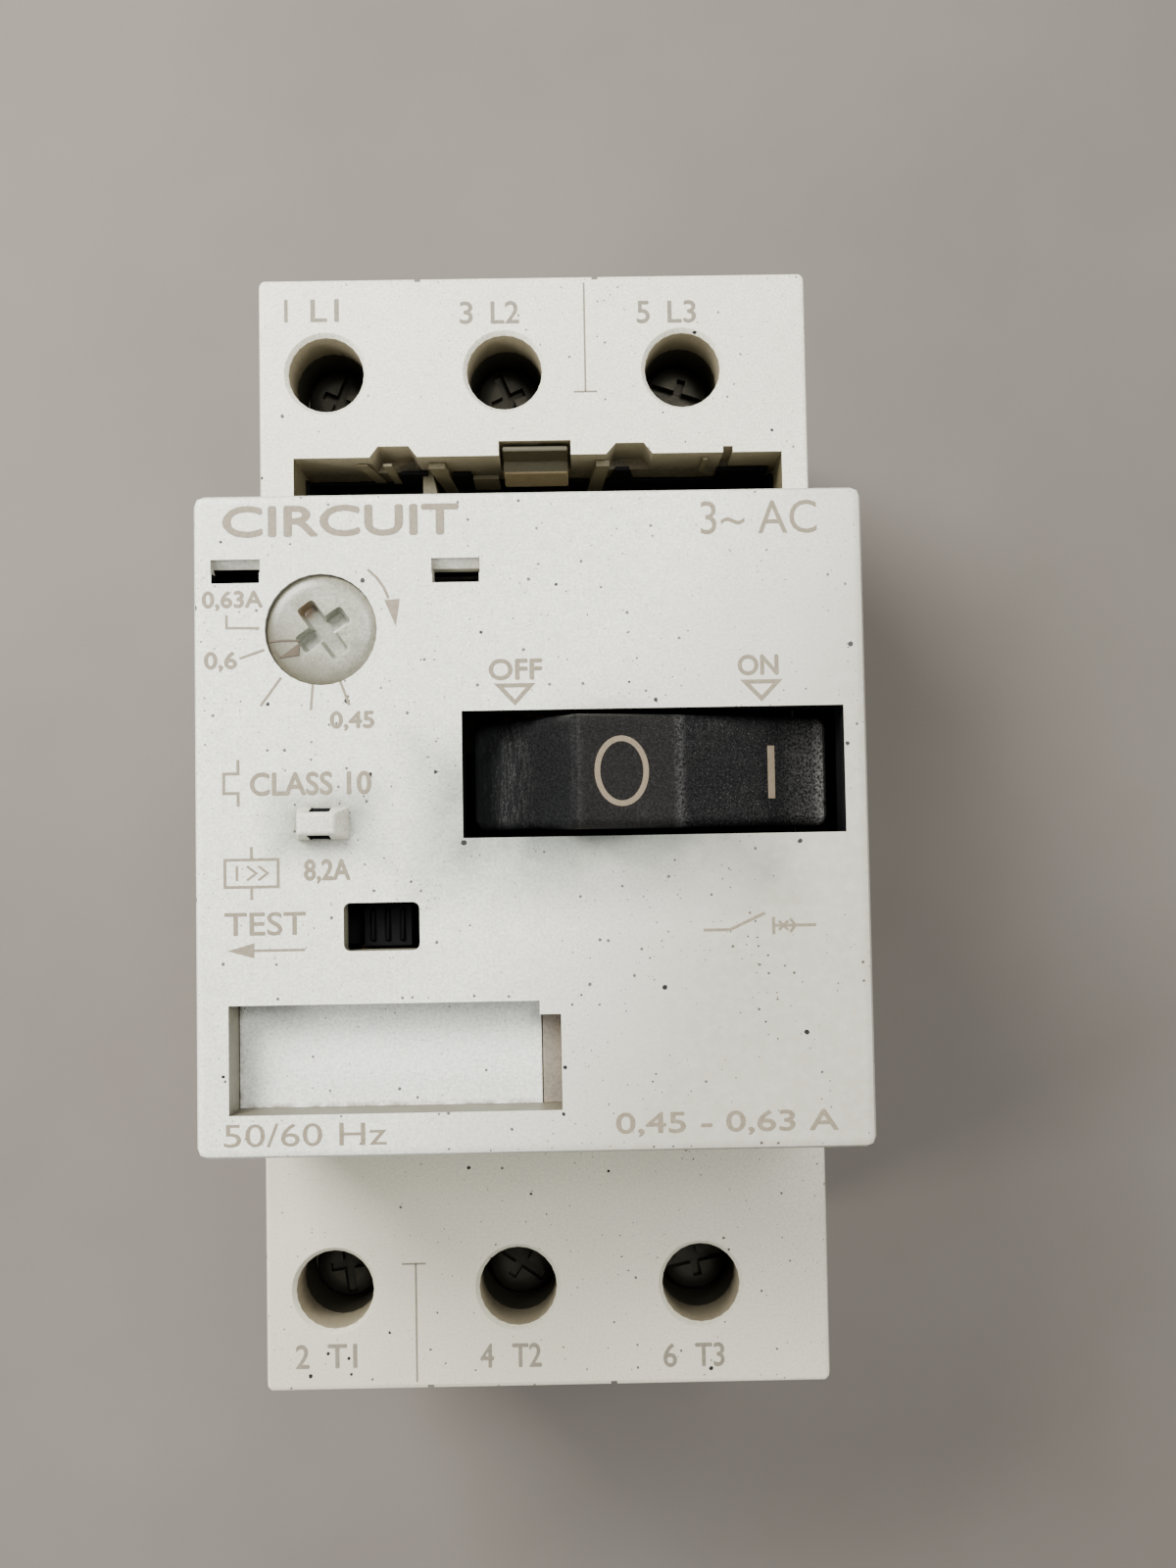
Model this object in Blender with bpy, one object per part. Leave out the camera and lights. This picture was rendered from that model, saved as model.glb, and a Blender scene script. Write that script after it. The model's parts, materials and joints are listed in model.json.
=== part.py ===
"""Three-pole motor protection breaker, lying on its back with its front facing up.

+Z points out of the front, +Y towards the line terminals and +X to the right as seen
from the front. The origin is the middle of the back face. Sizes below are millimetres.
"""

import math

import bmesh
import bpy
from mathutils import Vector

MM = 0.001

# Overall envelope
WIDTH = 45.0
HEIGHT = 90.0
FRONT_Z = 73.0
SHOULDER_Z = 51.0
BASE_TOP_Z = 26.0
JOINT_GAP = 0.3
HALF_W = WIDTH / 2
HALF_H = HEIGHT / 2

# Housing walls and pole chambers
SIDE_WALL = 1.9
END_WALL = 2.0
POLE_PITCH = 14.65
POLES = (-POLE_PITCH, 0.0, POLE_PITCH)
CHAMBER_HALF_W = 6.0
BASE_FLOOR_Z = 8.2

# Front cover
COVER_LOW_Y = -22.3
COVER_HIGH_Y = 21.9
COVER_WALL = 1.8
COVER_PLATE = 2.0

# Rail channel for a 35 mm top-hat rail, with its fixed hook on the line side
RAIL_SEAT_Z = 6.0
RAIL_PAD_HALF = 15.4
RAIL_RELIEF_Z = 6.3
RAIL_HALF = 17.8
RAIL_HOOK_Y = 16.0
RAIL_LIP_LOW_Z = 4.6

# Terminals
SCREW_OFFSET_X = -2.35
TERMINAL_Y = 37.1
DRIVER_HOLE_R = 3.1
TERMINAL_BAR_Z = 33.8
CLAMP_LOW_Z = 39.0
CLAMP_TOP_Z = 40.6
WIRE_ENTRY_LOW_Z = 34.0
WIRE_ENTRY_TOP_Z = 40.8
SCREW_HEAD_TOP_Z = 43.4

STRIP_THICKNESS = 1.2

# Rocker and its linkage
PIVOT = (8.15, 2.87, 65.0)
ROCKER_HALF_Y = 3.8
WINDOW_LOW = (-4.6, -1.38)
WINDOW_HIGH = (20.9, 7.1)
CRANK_RADIUS = 7.0
CRANK_ANGLE = math.radians(14.0)

# Small controls on the cover
DIAL_CENTRE = (-13.92, 12.72)
DIAL_HOLE_R = 3.75
TEST_LOW = (-12.59, -8.73)
TEST_HIGH = (-7.56, -5.54)
LABEL_LOW = (-20.25, -19.4)
LABEL_HIGH = (0.3, -12.2)
LABEL_EXTRA_X = 1.7
LABEL_EXTRA_Y = -13.1
LABEL_FLOOR_Z = 69.0
EYELET_LOW = (-15.45, -1.2)
EYELET_HIGH = (-12.15, 0.7)
EYELET_TOP_Z = 74.6

# Auxiliary-switch slot between the line shoulder and the cover
SLOT_LEFT_X = -19.7
SLOT_RIGHT_X = 20.3
SLOT_NEAR_Y = 22.4
SLOT_FAR_Y = 30.1
SLOT_FLOOR_Z = 35.0

COLOURS = {
    "cover_white": ((0.76, 0.77, 0.73), 0.45, 0.0),
    "housing_cream": ((0.74, 0.74, 0.68), 0.5, 0.0),
    "base_grey": ((0.55, 0.55, 0.52), 0.5, 0.0),
    "charcoal": ((0.03, 0.032, 0.035), 0.5, 0.0),
    "black_plastic": ((0.02, 0.02, 0.02), 0.55, 0.0),
    "beige_plastic": ((0.42, 0.36, 0.24), 0.5, 0.0),
    "dial_white": ((0.80, 0.81, 0.78), 0.35, 0.0),
    "zinc_steel": ((0.62, 0.62, 0.60), 0.35, 1.0),
    "steel": ((0.50, 0.50, 0.50), 0.4, 1.0),
    "copper": ((0.72, 0.40, 0.25), 0.35, 1.0),
    "brass": ((0.70, 0.55, 0.30), 0.35, 1.0),
}


# ---------------------------------------------------------------- helpers

def clear_scene():
    for obj in list(bpy.data.objects):
        bpy.data.objects.remove(obj, do_unlink=True)


def make_material(name, key):
    colour, roughness, metallic = COLOURS[key]
    material = bpy.data.materials.new(name + "_material")
    material.use_nodes = True
    shader = material.node_tree.nodes["Principled BSDF"]
    shader.inputs["Base Color"].default_value = (*colour, 1.0)
    shader.inputs["Roughness"].default_value = roughness
    shader.inputs["Metallic"].default_value = metallic
    return material


def finish(name, bm, key, origin=(0.0, 0.0, 0.0)):
    """Turn a bmesh in millimetres into an object whose origin is at the given point."""
    offset = Vector(origin)
    for vert in bm.verts:
        vert.co = (vert.co - offset) * MM
    mesh = bpy.data.meshes.new(name)
    bm.to_mesh(mesh)
    bm.free()
    mesh.shade_smooth()
    mesh.set_sharp_from_angle(angle=math.radians(32.0))
    obj = bpy.data.objects.new(name, mesh)
    obj.location = offset * MM
    bpy.context.scene.collection.objects.link(obj)
    mesh.materials.append(make_material(name, key))
    return obj


def cut(target, bm, name, operation="DIFFERENCE"):
    """Cut a bmesh from an object, or join it on, with a boolean."""
    cutter = finish(name, bm, "steel")
    cutter.hide_render = True
    cutter.display_type = "WIRE"
    modifier = target.modifiers.new(name, "BOOLEAN")
    modifier.operation = operation
    modifier.object = cutter


def add_box(bm, low, high, bevel=0.0, segments=1):
    made = bmesh.ops.create_cube(bm, size=1.0)["verts"]
    for vert in made:
        for axis in range(3):
            middle = (low[axis] + high[axis]) / 2
            vert.co[axis] = middle + vert.co[axis] * (high[axis] - low[axis])
    if bevel:
        edges = {edge for vert in made for edge in vert.link_edges}
        bmesh.ops.bevel(bm, geom=list(edges), offset=bevel, segments=segments,
                        profile=0.5, affect="EDGES", clamp_overlap=True)


def axis_point(axis, u, v, w):
    """Place (u, v) in the plane across an axis, at the distance w along it."""
    if axis == "X":
        return (w, u, v)
    if axis == "Y":
        return (v, w, u)
    return (u, v, w)


def add_prism(bm, outline, low, high, axis="Z"):
    """Extrude an outline along an axis: (y, z) for X, (z, x) for Y, (x, y) for Z."""
    lower = [bm.verts.new(axis_point(axis, u, v, low)) for u, v in outline]
    upper = [bm.verts.new(axis_point(axis, u, v, high)) for u, v in outline]
    faces = [bm.faces.new(lower), bm.faces.new(upper)]
    count = len(outline)
    for i in range(count):
        j = (i + 1) % count
        faces.append(bm.faces.new((lower[i], lower[j], upper[j], upper[i])))
    bmesh.ops.recalc_face_normals(bm, faces=faces)


def circle(centre, radius, segments=24, start=0.0):
    points = []
    for i in range(segments):
        angle = start + math.tau * i / segments
        points.append((centre[0] + radius * math.cos(angle), centre[1] + radius * math.sin(angle)))
    return points


def add_rod(bm, centre, radius, low, high, axis="Z", segments=24):
    add_prism(bm, circle(centre, radius, segments), low, high, axis)


def add_lathe(bm, profile, centre, segments=24):
    """Turn a closed (radius, z) profile about a Z axis; zero radii lie on the axis."""
    rings = []
    for radius, z in profile:
        if radius == 0.0:
            rings.append([bm.verts.new((centre[0], centre[1], z))])
        else:
            rings.append([bm.verts.new((x, y, z)) for x, y in circle(centre, radius, segments)])
    faces = []
    for lower, upper in zip(rings, rings[1:]):
        for i in range(segments):
            j = (i + 1) % segments
            corners = [lower[i % len(lower)], lower[j % len(lower)],
                       upper[j % len(upper)], upper[i % len(upper)]]
            unique = list(dict.fromkeys(corners))
            if len(unique) > 2:
                faces.append(bm.faces.new(unique))
    bmesh.ops.recalc_face_normals(bm, faces=faces)


def strip_outline(path, thickness):
    """Offset a polyline to both sides, with mitred corners, into one closed outline."""
    points = [Vector(p) for p in path]
    left = []
    right = []
    for i, point in enumerate(points):
        directions = []
        if i > 0:
            directions.append((point - points[i - 1]).normalized())
        if i < len(points) - 1:
            directions.append((points[i + 1] - point).normalized())
        normals = [Vector((-d.y, d.x)) for d in directions]
        mitre = sum(normals, Vector((0.0, 0.0)))
        mitre = mitre / mitre.dot(normals[0])
        left.append(point + mitre * thickness / 2)
        right.append(point - mitre * thickness / 2)
    return [tuple(p) for p in left + right[::-1]]


def add_sweep(bm, path, radius, sides=5):
    """Sweep a small round wire along a list of points and cap both ends."""
    points = [Vector(p) for p in path]
    rings = []
    side = None
    for i, point in enumerate(points):
        ahead = points[min(i + 1, len(points) - 1)]
        behind = points[max(i - 1, 0)]
        tangent = (ahead - behind).normalized()
        if side is None:
            side = tangent.orthogonal().normalized()
        side = (side - tangent * side.dot(tangent)).normalized()
        other = tangent.cross(side)
        ring = []
        for k in range(sides):
            angle = math.tau * k / sides
            ring.append(bm.verts.new(point + side * radius * math.cos(angle)
                                     + other * radius * math.sin(angle)))
        rings.append(ring)
    faces = [bm.faces.new(rings[0]), bm.faces.new(rings[-1])]
    for first, second in zip(rings, rings[1:]):
        for k in range(sides):
            n = (k + 1) % sides
            faces.append(bm.faces.new((first[k], first[n], second[n], second[k])))
    bmesh.ops.recalc_face_normals(bm, faces=faces)


def helix(centre, radius, low, high, turns, axis="Z", per_turn=9):
    """Points of a helix about an axis through the centre, from low to high."""
    count = int(turns * per_turn)
    points = []
    for i in range(count + 1):
        angle = math.tau * i / per_turn
        along = low + (high - low) * i / count
        u = centre[0] + radius * math.cos(angle)
        v = centre[1] + radius * math.sin(angle)
        points.append(axis_point(axis, u, v, along))
    return points


def make_spring(name, centre, radius, wire, low, high, turns, axis="Z"):
    bm = bmesh.new()
    add_sweep(bm, helix(centre, radius, low + wire, high - wire, turns, axis), wire, sides=4)
    return finish(name, bm, "steel")


# ---------------------------------------------------------------- housings

def make_base_housing():
    """Rear shell: pole trays at the front, rail channel and clip guide at the back."""
    bm = bmesh.new()
    add_box(bm, (-HALF_W, -HALF_H, 0.0), (HALF_W, HALF_H, BASE_TOP_Z), bevel=0.5)
    base = finish("base_housing", bm, "base_grey")
    trays = bmesh.new()
    for x in POLES:
        add_box(trays, (x - CHAMBER_HALF_W, -HALF_H + END_WALL, BASE_FLOOR_Z),
                (x + CHAMBER_HALF_W, HALF_H - END_WALL, BASE_TOP_Z + 1.0))
    cut(base, trays, "cut_base_trays")
    channel = bmesh.new()
    outline = [(-RAIL_HALF - 0.4, -1.0), (RAIL_HOOK_Y, -1.0), (RAIL_HOOK_Y, RAIL_LIP_LOW_Z),
               (RAIL_HALF, RAIL_LIP_LOW_Z), (RAIL_HALF, RAIL_RELIEF_Z), (RAIL_PAD_HALF, RAIL_RELIEF_Z),
               (RAIL_PAD_HALF, RAIL_SEAT_Z), (-RAIL_PAD_HALF, RAIL_SEAT_Z),
               (-RAIL_PAD_HALF, RAIL_RELIEF_Z), (-RAIL_HALF - 0.4, RAIL_RELIEF_Z)]
    add_prism(channel, outline, -HALF_W - 1.0, HALF_W + 1.0, "X")
    cut(base, channel, "cut_rail_channel")
    guide = bmesh.new()
    section = [(-6.3, -1.0), (6.3, -1.0), (6.3, 1.7), (7.9, 1.7), (7.9, 3.7), (6.3, 3.7),
               (6.3, 4.9), (-6.3, 4.9), (-6.3, 3.7), (-7.9, 3.7), (-7.9, 1.7), (-6.3, 1.7)]
    add_prism(guide, [(z, x) for x, z in section], -HALF_H - 1.0, -RAIL_HALF + 1.0, "Y")
    cut(base, guide, "cut_clip_guide")
    stop = bmesh.new()
    add_box(stop, (-1.8, -34.9, 1.0), (1.8, -33.7, 5.4))
    cut(base, stop, "join_clip_stop", "UNION")
    return base


def make_rail_clip():
    """Sprung slider with a nose that goes behind the lower edge of the rail."""
    bm = bmesh.new()
    add_box(bm, (-6.0, -44.6, 0.4), (6.0, -16.2, 4.5), bevel=0.3)
    clip = finish("rail_clip", bm, "base_grey")
    wings = bmesh.new()
    add_box(wings, (-7.6, -43.0, 2.0), (7.6, -20.0, 3.4))
    cut(clip, wings, "join_clip_wings", "UNION")
    window = bmesh.new()
    add_box(window, (-2.2, -35.2, -1.0), (2.2, -24.3, 6.0))
    cut(clip, window, "cut_clip_window")
    notch = bmesh.new()
    add_box(notch, (-2.5, -42.8, -1.0), (2.5, -40.6, 6.0))
    cut(clip, notch, "cut_clip_tool_slot")
    nose = bmesh.new()
    add_prism(nose, [(-17.6, -1.0), (-15.0, -1.0), (-15.0, 2.6)], -8.0, 8.0, "X")
    cut(clip, nose, "cut_clip_nose_ramp")
    return clip


def slot_outline():
    """Auxiliary-switch slot seen from the front, with the notches in its far edge."""
    far = SLOT_FAR_Y
    return [(SLOT_LEFT_X, SLOT_NEAR_Y), (SLOT_RIGHT_X, SLOT_NEAR_Y), (SLOT_RIGHT_X, far),
            (16.3, far), (16.3, far + 0.5), (15.5, far + 0.5), (15.5, far),
            (9.7, far), (9.0, far + 0.9), (6.7, far + 0.9), (5.9, far),
            (3.0, far), (3.0, far + 1.2), (-2.9, far + 1.2), (-2.9, far),
            (-9.6, far), (-10.3, far + 0.9), (-12.8, far + 0.9), (-13.5, far),
            (SLOT_LEFT_X, far)]


def make_upper_housing():
    """Middle shell: terminal shoulders, pole chambers, slot pocket and mechanism well."""
    low_z = BASE_TOP_Z + JOINT_GAP
    bm = bmesh.new()
    add_box(bm, (-HALF_W, -HALF_H, low_z), (HALF_W, HALF_H, SHOULDER_Z), bevel=0.45, segments=2)
    housing = finish("upper_housing", bm, "housing_cream")
    chambers = bmesh.new()
    for x in POLES:
        left = x - CHAMBER_HALF_W
        right = x + CHAMBER_HALF_W
        outline = [(-43.0, low_z - 1.0), (43.0, low_z - 1.0), (43.0, 46.5), (32.8, 46.5), (32.8, 33.0),
                   (-24.0, 33.0), (-24.0, 46.5), (-43.0, 46.5)]
        add_prism(chambers, outline, left, right, "X")
    cut(housing, chambers, "cut_pole_chambers")
    well = bmesh.new()
    add_box(well, (-20.6, -20.3, 31.0), (20.6, 19.9, SHOULDER_Z + 1.0))
    cut(housing, well, "cut_mechanism_well")
    mouth = bmesh.new()
    add_prism(mouth, slot_outline(), 46.0, SHOULDER_Z + 1.0)
    cut(housing, mouth, "cut_slot_mouth")
    pockets = bmesh.new()
    add_box(pockets, (SLOT_LEFT_X, SLOT_NEAR_Y, SLOT_FLOOR_Z), (-9.6, SLOT_FAR_Y, 47.0))
    add_prism(pockets, [(-7.2, SLOT_NEAR_Y), (SLOT_RIGHT_X, SLOT_NEAR_Y), (SLOT_RIGHT_X, SLOT_FAR_Y),
                        (-8.8, SLOT_FAR_Y)], SLOT_FLOOR_Z, 47.0)
    cut(housing, pockets, "cut_slot_pockets")
    bores = bmesh.new()
    entries = bmesh.new()
    for x in POLES:
        for side in (1, -1):
            add_rod(bores, (x + SCREW_OFFSET_X, side * TERMINAL_Y), DRIVER_HOLE_R,
                    45.5, SHOULDER_Z + 1.0, segments=24)
            near = side * 41.0
            far = side * (HALF_H + 1.0)
            add_box(entries, (x - 4.6, min(near, far), WIRE_ENTRY_LOW_Z),
                    (x + 5.2, max(near, far), WIRE_ENTRY_TOP_Z))
    cut(housing, bores, "cut_driver_bores")
    cut(housing, entries, "cut_wire_entries")
    return housing


def make_front_cover():
    """White cover with its windows, label recess and sealing eyelet."""
    low_z = SHOULDER_Z + JOINT_GAP
    under = FRONT_Z - COVER_PLATE
    bm = bmesh.new()
    add_box(bm, (-HALF_W, COVER_LOW_Y, low_z), (HALF_W, COVER_HIGH_Y, FRONT_Z), bevel=0.7, segments=2)
    cover = finish("front_cover", bm, "cover_white")
    inside = bmesh.new()
    add_box(inside, (-HALF_W + COVER_WALL, COVER_LOW_Y + COVER_WALL, low_z - 1.0),
            (HALF_W - COVER_WALL, COVER_HIGH_Y - COVER_WALL, under))
    cut(cover, inside, "cut_cover_inside")
    relief = bmesh.new()
    add_box(relief, (WINDOW_LOW[0] - 1.1, WINDOW_LOW[1] - 1.1, 68.0),
            (WINDOW_HIGH[0] + 0.9, WINDOW_HIGH[1] + 1.1, FRONT_Z - 0.8))
    cut(cover, relief, "cut_window_relief")
    tray = bmesh.new()
    add_box(tray, (-21.4, -21.2, 67.2), (3.4, -11.0, under + 0.5))
    cut(cover, tray, "join_label_tray", "UNION")
    boss = bmesh.new()
    add_rod(boss, DIAL_CENTRE, 5.2, 66.5, under + 0.5, segments=20)
    cut(cover, boss, "join_dial_boss", "UNION")
    eyelet = bmesh.new()
    add_box(eyelet, (*EYELET_LOW, under + 0.6), (*EYELET_HIGH, EYELET_TOP_Z), bevel=0.2)
    cut(cover, eyelet, "join_eyelet", "UNION")
    windows = bmesh.new()
    top = FRONT_Z + 1.0
    add_box(windows, (*WINDOW_LOW, 60.0), (*WINDOW_HIGH, top))
    add_box(windows, (*TEST_LOW, 60.0), (*TEST_HIGH, top))
    add_box(windows, (-21.2, 15.9, 60.0), (-18.0, 16.95, top))
    add_box(windows, (-6.45, 15.75, 60.0), (-3.3, 16.8, top))
    add_rod(windows, DIAL_CENTRE, DIAL_HOLE_R, 60.0, top, segments=32)
    recess = [LABEL_LOW, (LABEL_EXTRA_X, LABEL_LOW[1]), (LABEL_EXTRA_X, LABEL_EXTRA_Y),
              (LABEL_HIGH[0], LABEL_EXTRA_Y), LABEL_HIGH, (LABEL_LOW[0], LABEL_HIGH[1])]
    add_prism(windows, recess, LABEL_FLOOR_Z, top)
    add_box(windows, (-14.35, -2.2, FRONT_Z + 0.15), (-13.25, 1.7, FRONT_Z + 1.0))
    cut(cover, windows, "cut_cover_windows")
    return cover


def make_window_liner():
    """Thin black frame that lines the rocker window behind the cover plate."""
    bm = bmesh.new()
    add_box(bm, (WINDOW_LOW[0] - 0.8, WINDOW_LOW[1] - 0.8, 69.4),
            (WINDOW_HIGH[0] + 0.6, WINDOW_HIGH[1] + 0.8, FRONT_Z - 1.1))
    liner = finish("window_liner", bm, "black_plastic")
    hole = bmesh.new()
    add_box(hole, (*WINDOW_LOW, 68.0), (*WINDOW_HIGH, FRONT_Z))
    cut(liner, hole, "cut_liner_hole")
    return liner


# ---------------------------------------------------------------- controls

def rocker_outline():
    """Rocker side view (x, z) in the OFF position, clockwise from the left end."""
    top = FRONT_Z
    return [(-3.9, top - 11.6), (-4.1, top - 8.0), (-3.5, top - 6.6), (2.5, top + 1.7), (3.3, top + 2.0),
            (10.0, top - 0.3), (16.6, top - 2.7), (19.7, top - 4.3), (20.0, top - 5.0),
            (19.5, top - 9.6), (13.0, top - 11.6)]


def make_rocker():
    bm = bmesh.new()
    outline = [(z, x) for x, z in rocker_outline()]
    add_prism(bm, outline, PIVOT[1] - ROCKER_HALF_Y, PIVOT[1] + ROCKER_HALF_Y, "Y")
    rim = [edge for edge in bm.edges if abs(edge.verts[0].co.y - edge.verts[1].co.y) < 0.01]
    bmesh.ops.bevel(bm, geom=rim, offset=0.7, segments=2, profile=0.5, affect="EDGES", clamp_overlap=True)
    rocker = finish("rocker", bm, "charcoal", PIVOT)
    bores = bmesh.new()
    add_rod(bores, (PIVOT[2], PIVOT[0]), 1.3, -4.0, 10.0, "Y", 20)
    crank = crank_centre()
    add_rod(bores, (crank[1], crank[0]), 0.85, -4.0, 10.0, "Y", 16)
    cut(rocker, bores, "cut_rocker_bores")
    return rocker


def crank_centre():
    """Centre of the drive pin (x, z) with the rocker at OFF."""
    return (PIVOT[0] + CRANK_RADIUS * math.cos(CRANK_ANGLE), PIVOT[2] + CRANK_RADIUS * math.sin(CRANK_ANGLE))


def make_rocker_pins():
    bm = bmesh.new()
    add_rod(bm, (PIVOT[2], PIVOT[0]), 1.22, -4.3, 10.1, "Y", 20)
    finish("rocker_pin", bm, "steel", PIVOT)
    crank = crank_centre()
    bm = bmesh.new()
    add_rod(bm, (crank[1], crank[0]), 0.78, -2.5, 8.2, "Y", 16)
    finish("drive_pin", bm, "steel", PIVOT)


def make_mechanism_frame():
    """Folded steel bracket that carries the rocker pin."""
    bm = bmesh.new()
    add_prism(bm, [(-4.1, 54.0), (9.9, 54.0), (9.9, 68.4), (8.8, 68.4), (8.8, 55.0), (-3.0, 55.0),
                   (-3.0, 68.4), (-4.1, 68.4)], 4.0, 18.6, "X")
    frame = finish("mechanism_frame", bm, "zinc_steel")
    holes = bmesh.new()
    add_rod(holes, (PIVOT[2], PIVOT[0]), 1.3, -6.0, 12.0, "Y", 20)
    cut(frame, holes, "cut_frame_bearing")
    slots = bmesh.new()
    add_box(slots, (11.8, -5.0, 60.5), (20.0, 11.0, 70.0))
    add_box(slots, (11.8, -2.95, 53.0), (17.6, 8.75, 56.0))
    cut(frame, slots, "cut_frame_slots")
    return frame


def make_contact_carrier():
    """Insulating carrier: cross bar, one leg in each pole and a fork on the drive pin."""
    bm = bmesh.new()
    add_box(bm, (-19.8, -0.2, 40.0), (19.8, 6.2, 43.0))
    carrier = finish("contact_carrier", bm, "black_plastic")
    legs = bmesh.new()
    for x in POLES:
        add_box(legs, (x - 3.4, 0.4, 15.4), (x + 3.4, 5.6, 41.0))
    cut(carrier, legs, "join_carrier_legs", "UNION")
    yoke = bmesh.new()
    add_prism(yoke, [(-2.7, 41.0), (8.5, 41.0), (8.5, 68.9), (7.3, 68.9), (7.3, 44.5), (-1.5, 44.5),
                     (-1.5, 68.9), (-2.7, 68.9)], 12.4, 17.2, "X")
    cut(carrier, yoke, "join_carrier_yoke", "UNION")
    openings = bmesh.new()
    for x in POLES:
        add_box(openings, (x - 2.3, -1.0, 17.7), (x + 2.3, 7.0, 26.0))
    add_box(openings, (13.8, -4.0, 65.6), (16.3, 10.0, 67.8))
    cut(carrier, openings, "cut_carrier_windows")
    return carrier


def make_dial():
    """Setting dial: domed button with a cross recess, on a stem with an eccentric cam."""
    bm = bmesh.new()
    profile = [(0.0, 55.0), (1.5, 55.0), (1.5, 67.0), (3.55, 67.4), (3.55, 71.9), (2.9, 72.35),
               (1.7, 72.7), (0.0, 72.8)]
    add_lathe(bm, profile, DIAL_CENTRE, 24)
    dial = finish("setting_dial", bm, "dial_white", (*DIAL_CENTRE, 70.0))
    for turn, half in ((35.0, 1.85), (-54.0, 2.08)):
        angle = math.radians(turn)
        points = []
        for u, v in ((-half, -0.56), (half, -0.56), (half, 0.56), (-half, 0.56)):
            points.append((DIAL_CENTRE[0] + u * math.cos(angle) - v * math.sin(angle),
                           DIAL_CENTRE[1] + u * math.sin(angle) + v * math.cos(angle)))
        bar = bmesh.new()
        add_prism(bar, points, 70.2, 74.0)
        cut(dial, bar, f"cut_dial_cross_{int(abs(turn))}")
    cam = bmesh.new()
    add_rod(cam, (DIAL_CENTRE[0] + 0.9, DIAL_CENTRE[1]), 2.9, 55.4, 57.0, segments=16)
    cut(dial, cam, "join_dial_cam", "UNION")
    return dial


def make_test_slider():
    """Black slider behind the TEST window, pushed back by a small spring."""
    bm = bmesh.new()
    outline = [(-16.0, 66.8), (-5.2, 66.8), (-5.2, 68.0), (-8.3, 68.0), (-8.3, 70.5), (-11.6, 70.5),
               (-11.6, 68.0), (-16.0, 68.0)]
    add_prism(bm, [(z, x) for x, z in outline], -8.6, -5.7, "Y")
    slider = finish("test_slider", bm, "black_plastic")
    leg = bmesh.new()
    add_box(leg, (-8.6, -7.9, 48.0), (-7.2, -6.4, 67.2))
    cut(slider, leg, "join_slider_leg", "UNION")
    return slider


def make_trip_bar():
    """Sliding bar across the poles with an arm for the slider and a finger per pole."""
    bm = bmesh.new()
    add_box(bm, (-18.2, -17.4, 35.0), (19.6, -15.0, 37.4))
    bar = finish("trip_bar", bm, "black_plastic")
    arm = bmesh.new()
    add_box(arm, (-10.6, -17.0, 36.0), (-9.1, -6.4, 38.4))
    cut(bar, arm, "join_bar_arm", "UNION")
    post = bmesh.new()
    add_box(post, (-10.6, -8.0, 37.0), (-9.1, -6.4, 52.0))
    cut(bar, post, "join_bar_post", "UNION")
    fingers = bmesh.new()
    for x in POLES:
        add_box(fingers, (x + 2.6, -19.6, 35.4), (x + 3.8, -16.0, 37.0))
    cut(bar, fingers, "join_bar_fingers", "UNION")
    return bar


# ---------------------------------------------------------------- poles

def make_conductors(index, x):
    """Line strip with its fixed contact, coil strip and load strip of one pole."""
    bar = TERMINAL_BAR_Z
    line = [(42.4, bar), (33.6, bar), (33.6, 10.8), (14.6, 10.8), (14.6, 13.4), (8.8, 13.4)]
    coil = [(-2.8, 13.4), (-6.4, 13.4), (-6.4, 10.0), (-15.6, 10.0)]
    load = [(-42.4, bar), (-33.6, bar), (-33.6, 28.5), (-24.6, 28.5)]
    pieces = (("line_conductor", line, 1), ("coil_conductor", coil, 0), ("load_conductor", load, -1))
    for name, path, side in pieces:
        bm = bmesh.new()
        add_prism(bm, strip_outline(path, STRIP_THICKNESS), x - 4.6, x + 4.6, "X")
        obj = finish(f"{name}_{index}", bm, "copper")
        if side:
            hole = bmesh.new()
            add_rod(hole, (x + SCREW_OFFSET_X, side * TERMINAL_Y), 2.0, bar - 2.0, bar + 2.0, segments=16)
            cut(obj, hole, f"cut_{name}_{index}")


def make_contact_bridge(index, x):
    """Moving bridge with a raised contact tip at each end."""
    outline = [(-6.0, 18.2), (-5.8, 17.5), (-3.2, 17.5), (-3.0, 18.2), (9.0, 18.2), (9.2, 17.5),
               (11.8, 17.5), (12.0, 18.2), (12.0, 19.4), (-6.0, 19.4)]
    bm = bmesh.new()
    add_prism(bm, outline, x - 1.9, x + 1.9, "X")
    finish(f"contact_bridge_{index}", bm, "copper")


def make_arc_chute(index, x):
    """Stack of splitter plates held by one insulating side."""
    left = x - 5.4
    right = x + 5.4
    plate = 0.8
    pitch = 2.6
    low = 15.2
    count = 6
    outline = [(left, low)]
    for i in range(count):
        z = low + i * pitch
        outline += [(right, z), (right, z + plate)]
        if i < count - 1:
            outline += [(left + 0.9, z + plate), (left + 0.9, z + pitch)]
    outline.append((left, low + (count - 1) * pitch + plate))
    bm = bmesh.new()
    add_prism(bm, [(z, u) for u, z in outline], 16.6, 30.4, "Y")
    finish(f"arc_chute_{index}", bm, "steel")


def make_trip_coil(index, x):
    bm = bmesh.new()
    add_sweep(bm, helix((x, -11.2), 3.3, 11.7, 24.7, 5), 0.85)
    finish(f"trip_coil_{index}", bm, "copper")


def make_trip_plunger(index, x):
    profile = [(0.0, 14.0), (1.5, 14.0), (1.5, 26.0), (0.7, 26.4), (0.7, 32.0), (0.0, 32.0)]
    bm = bmesh.new()
    add_lathe(bm, profile, (x, -11.2), 14)
    finish(f"trip_plunger_{index}", bm, "zinc_steel", (x, -11.2, 14.0))


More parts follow.
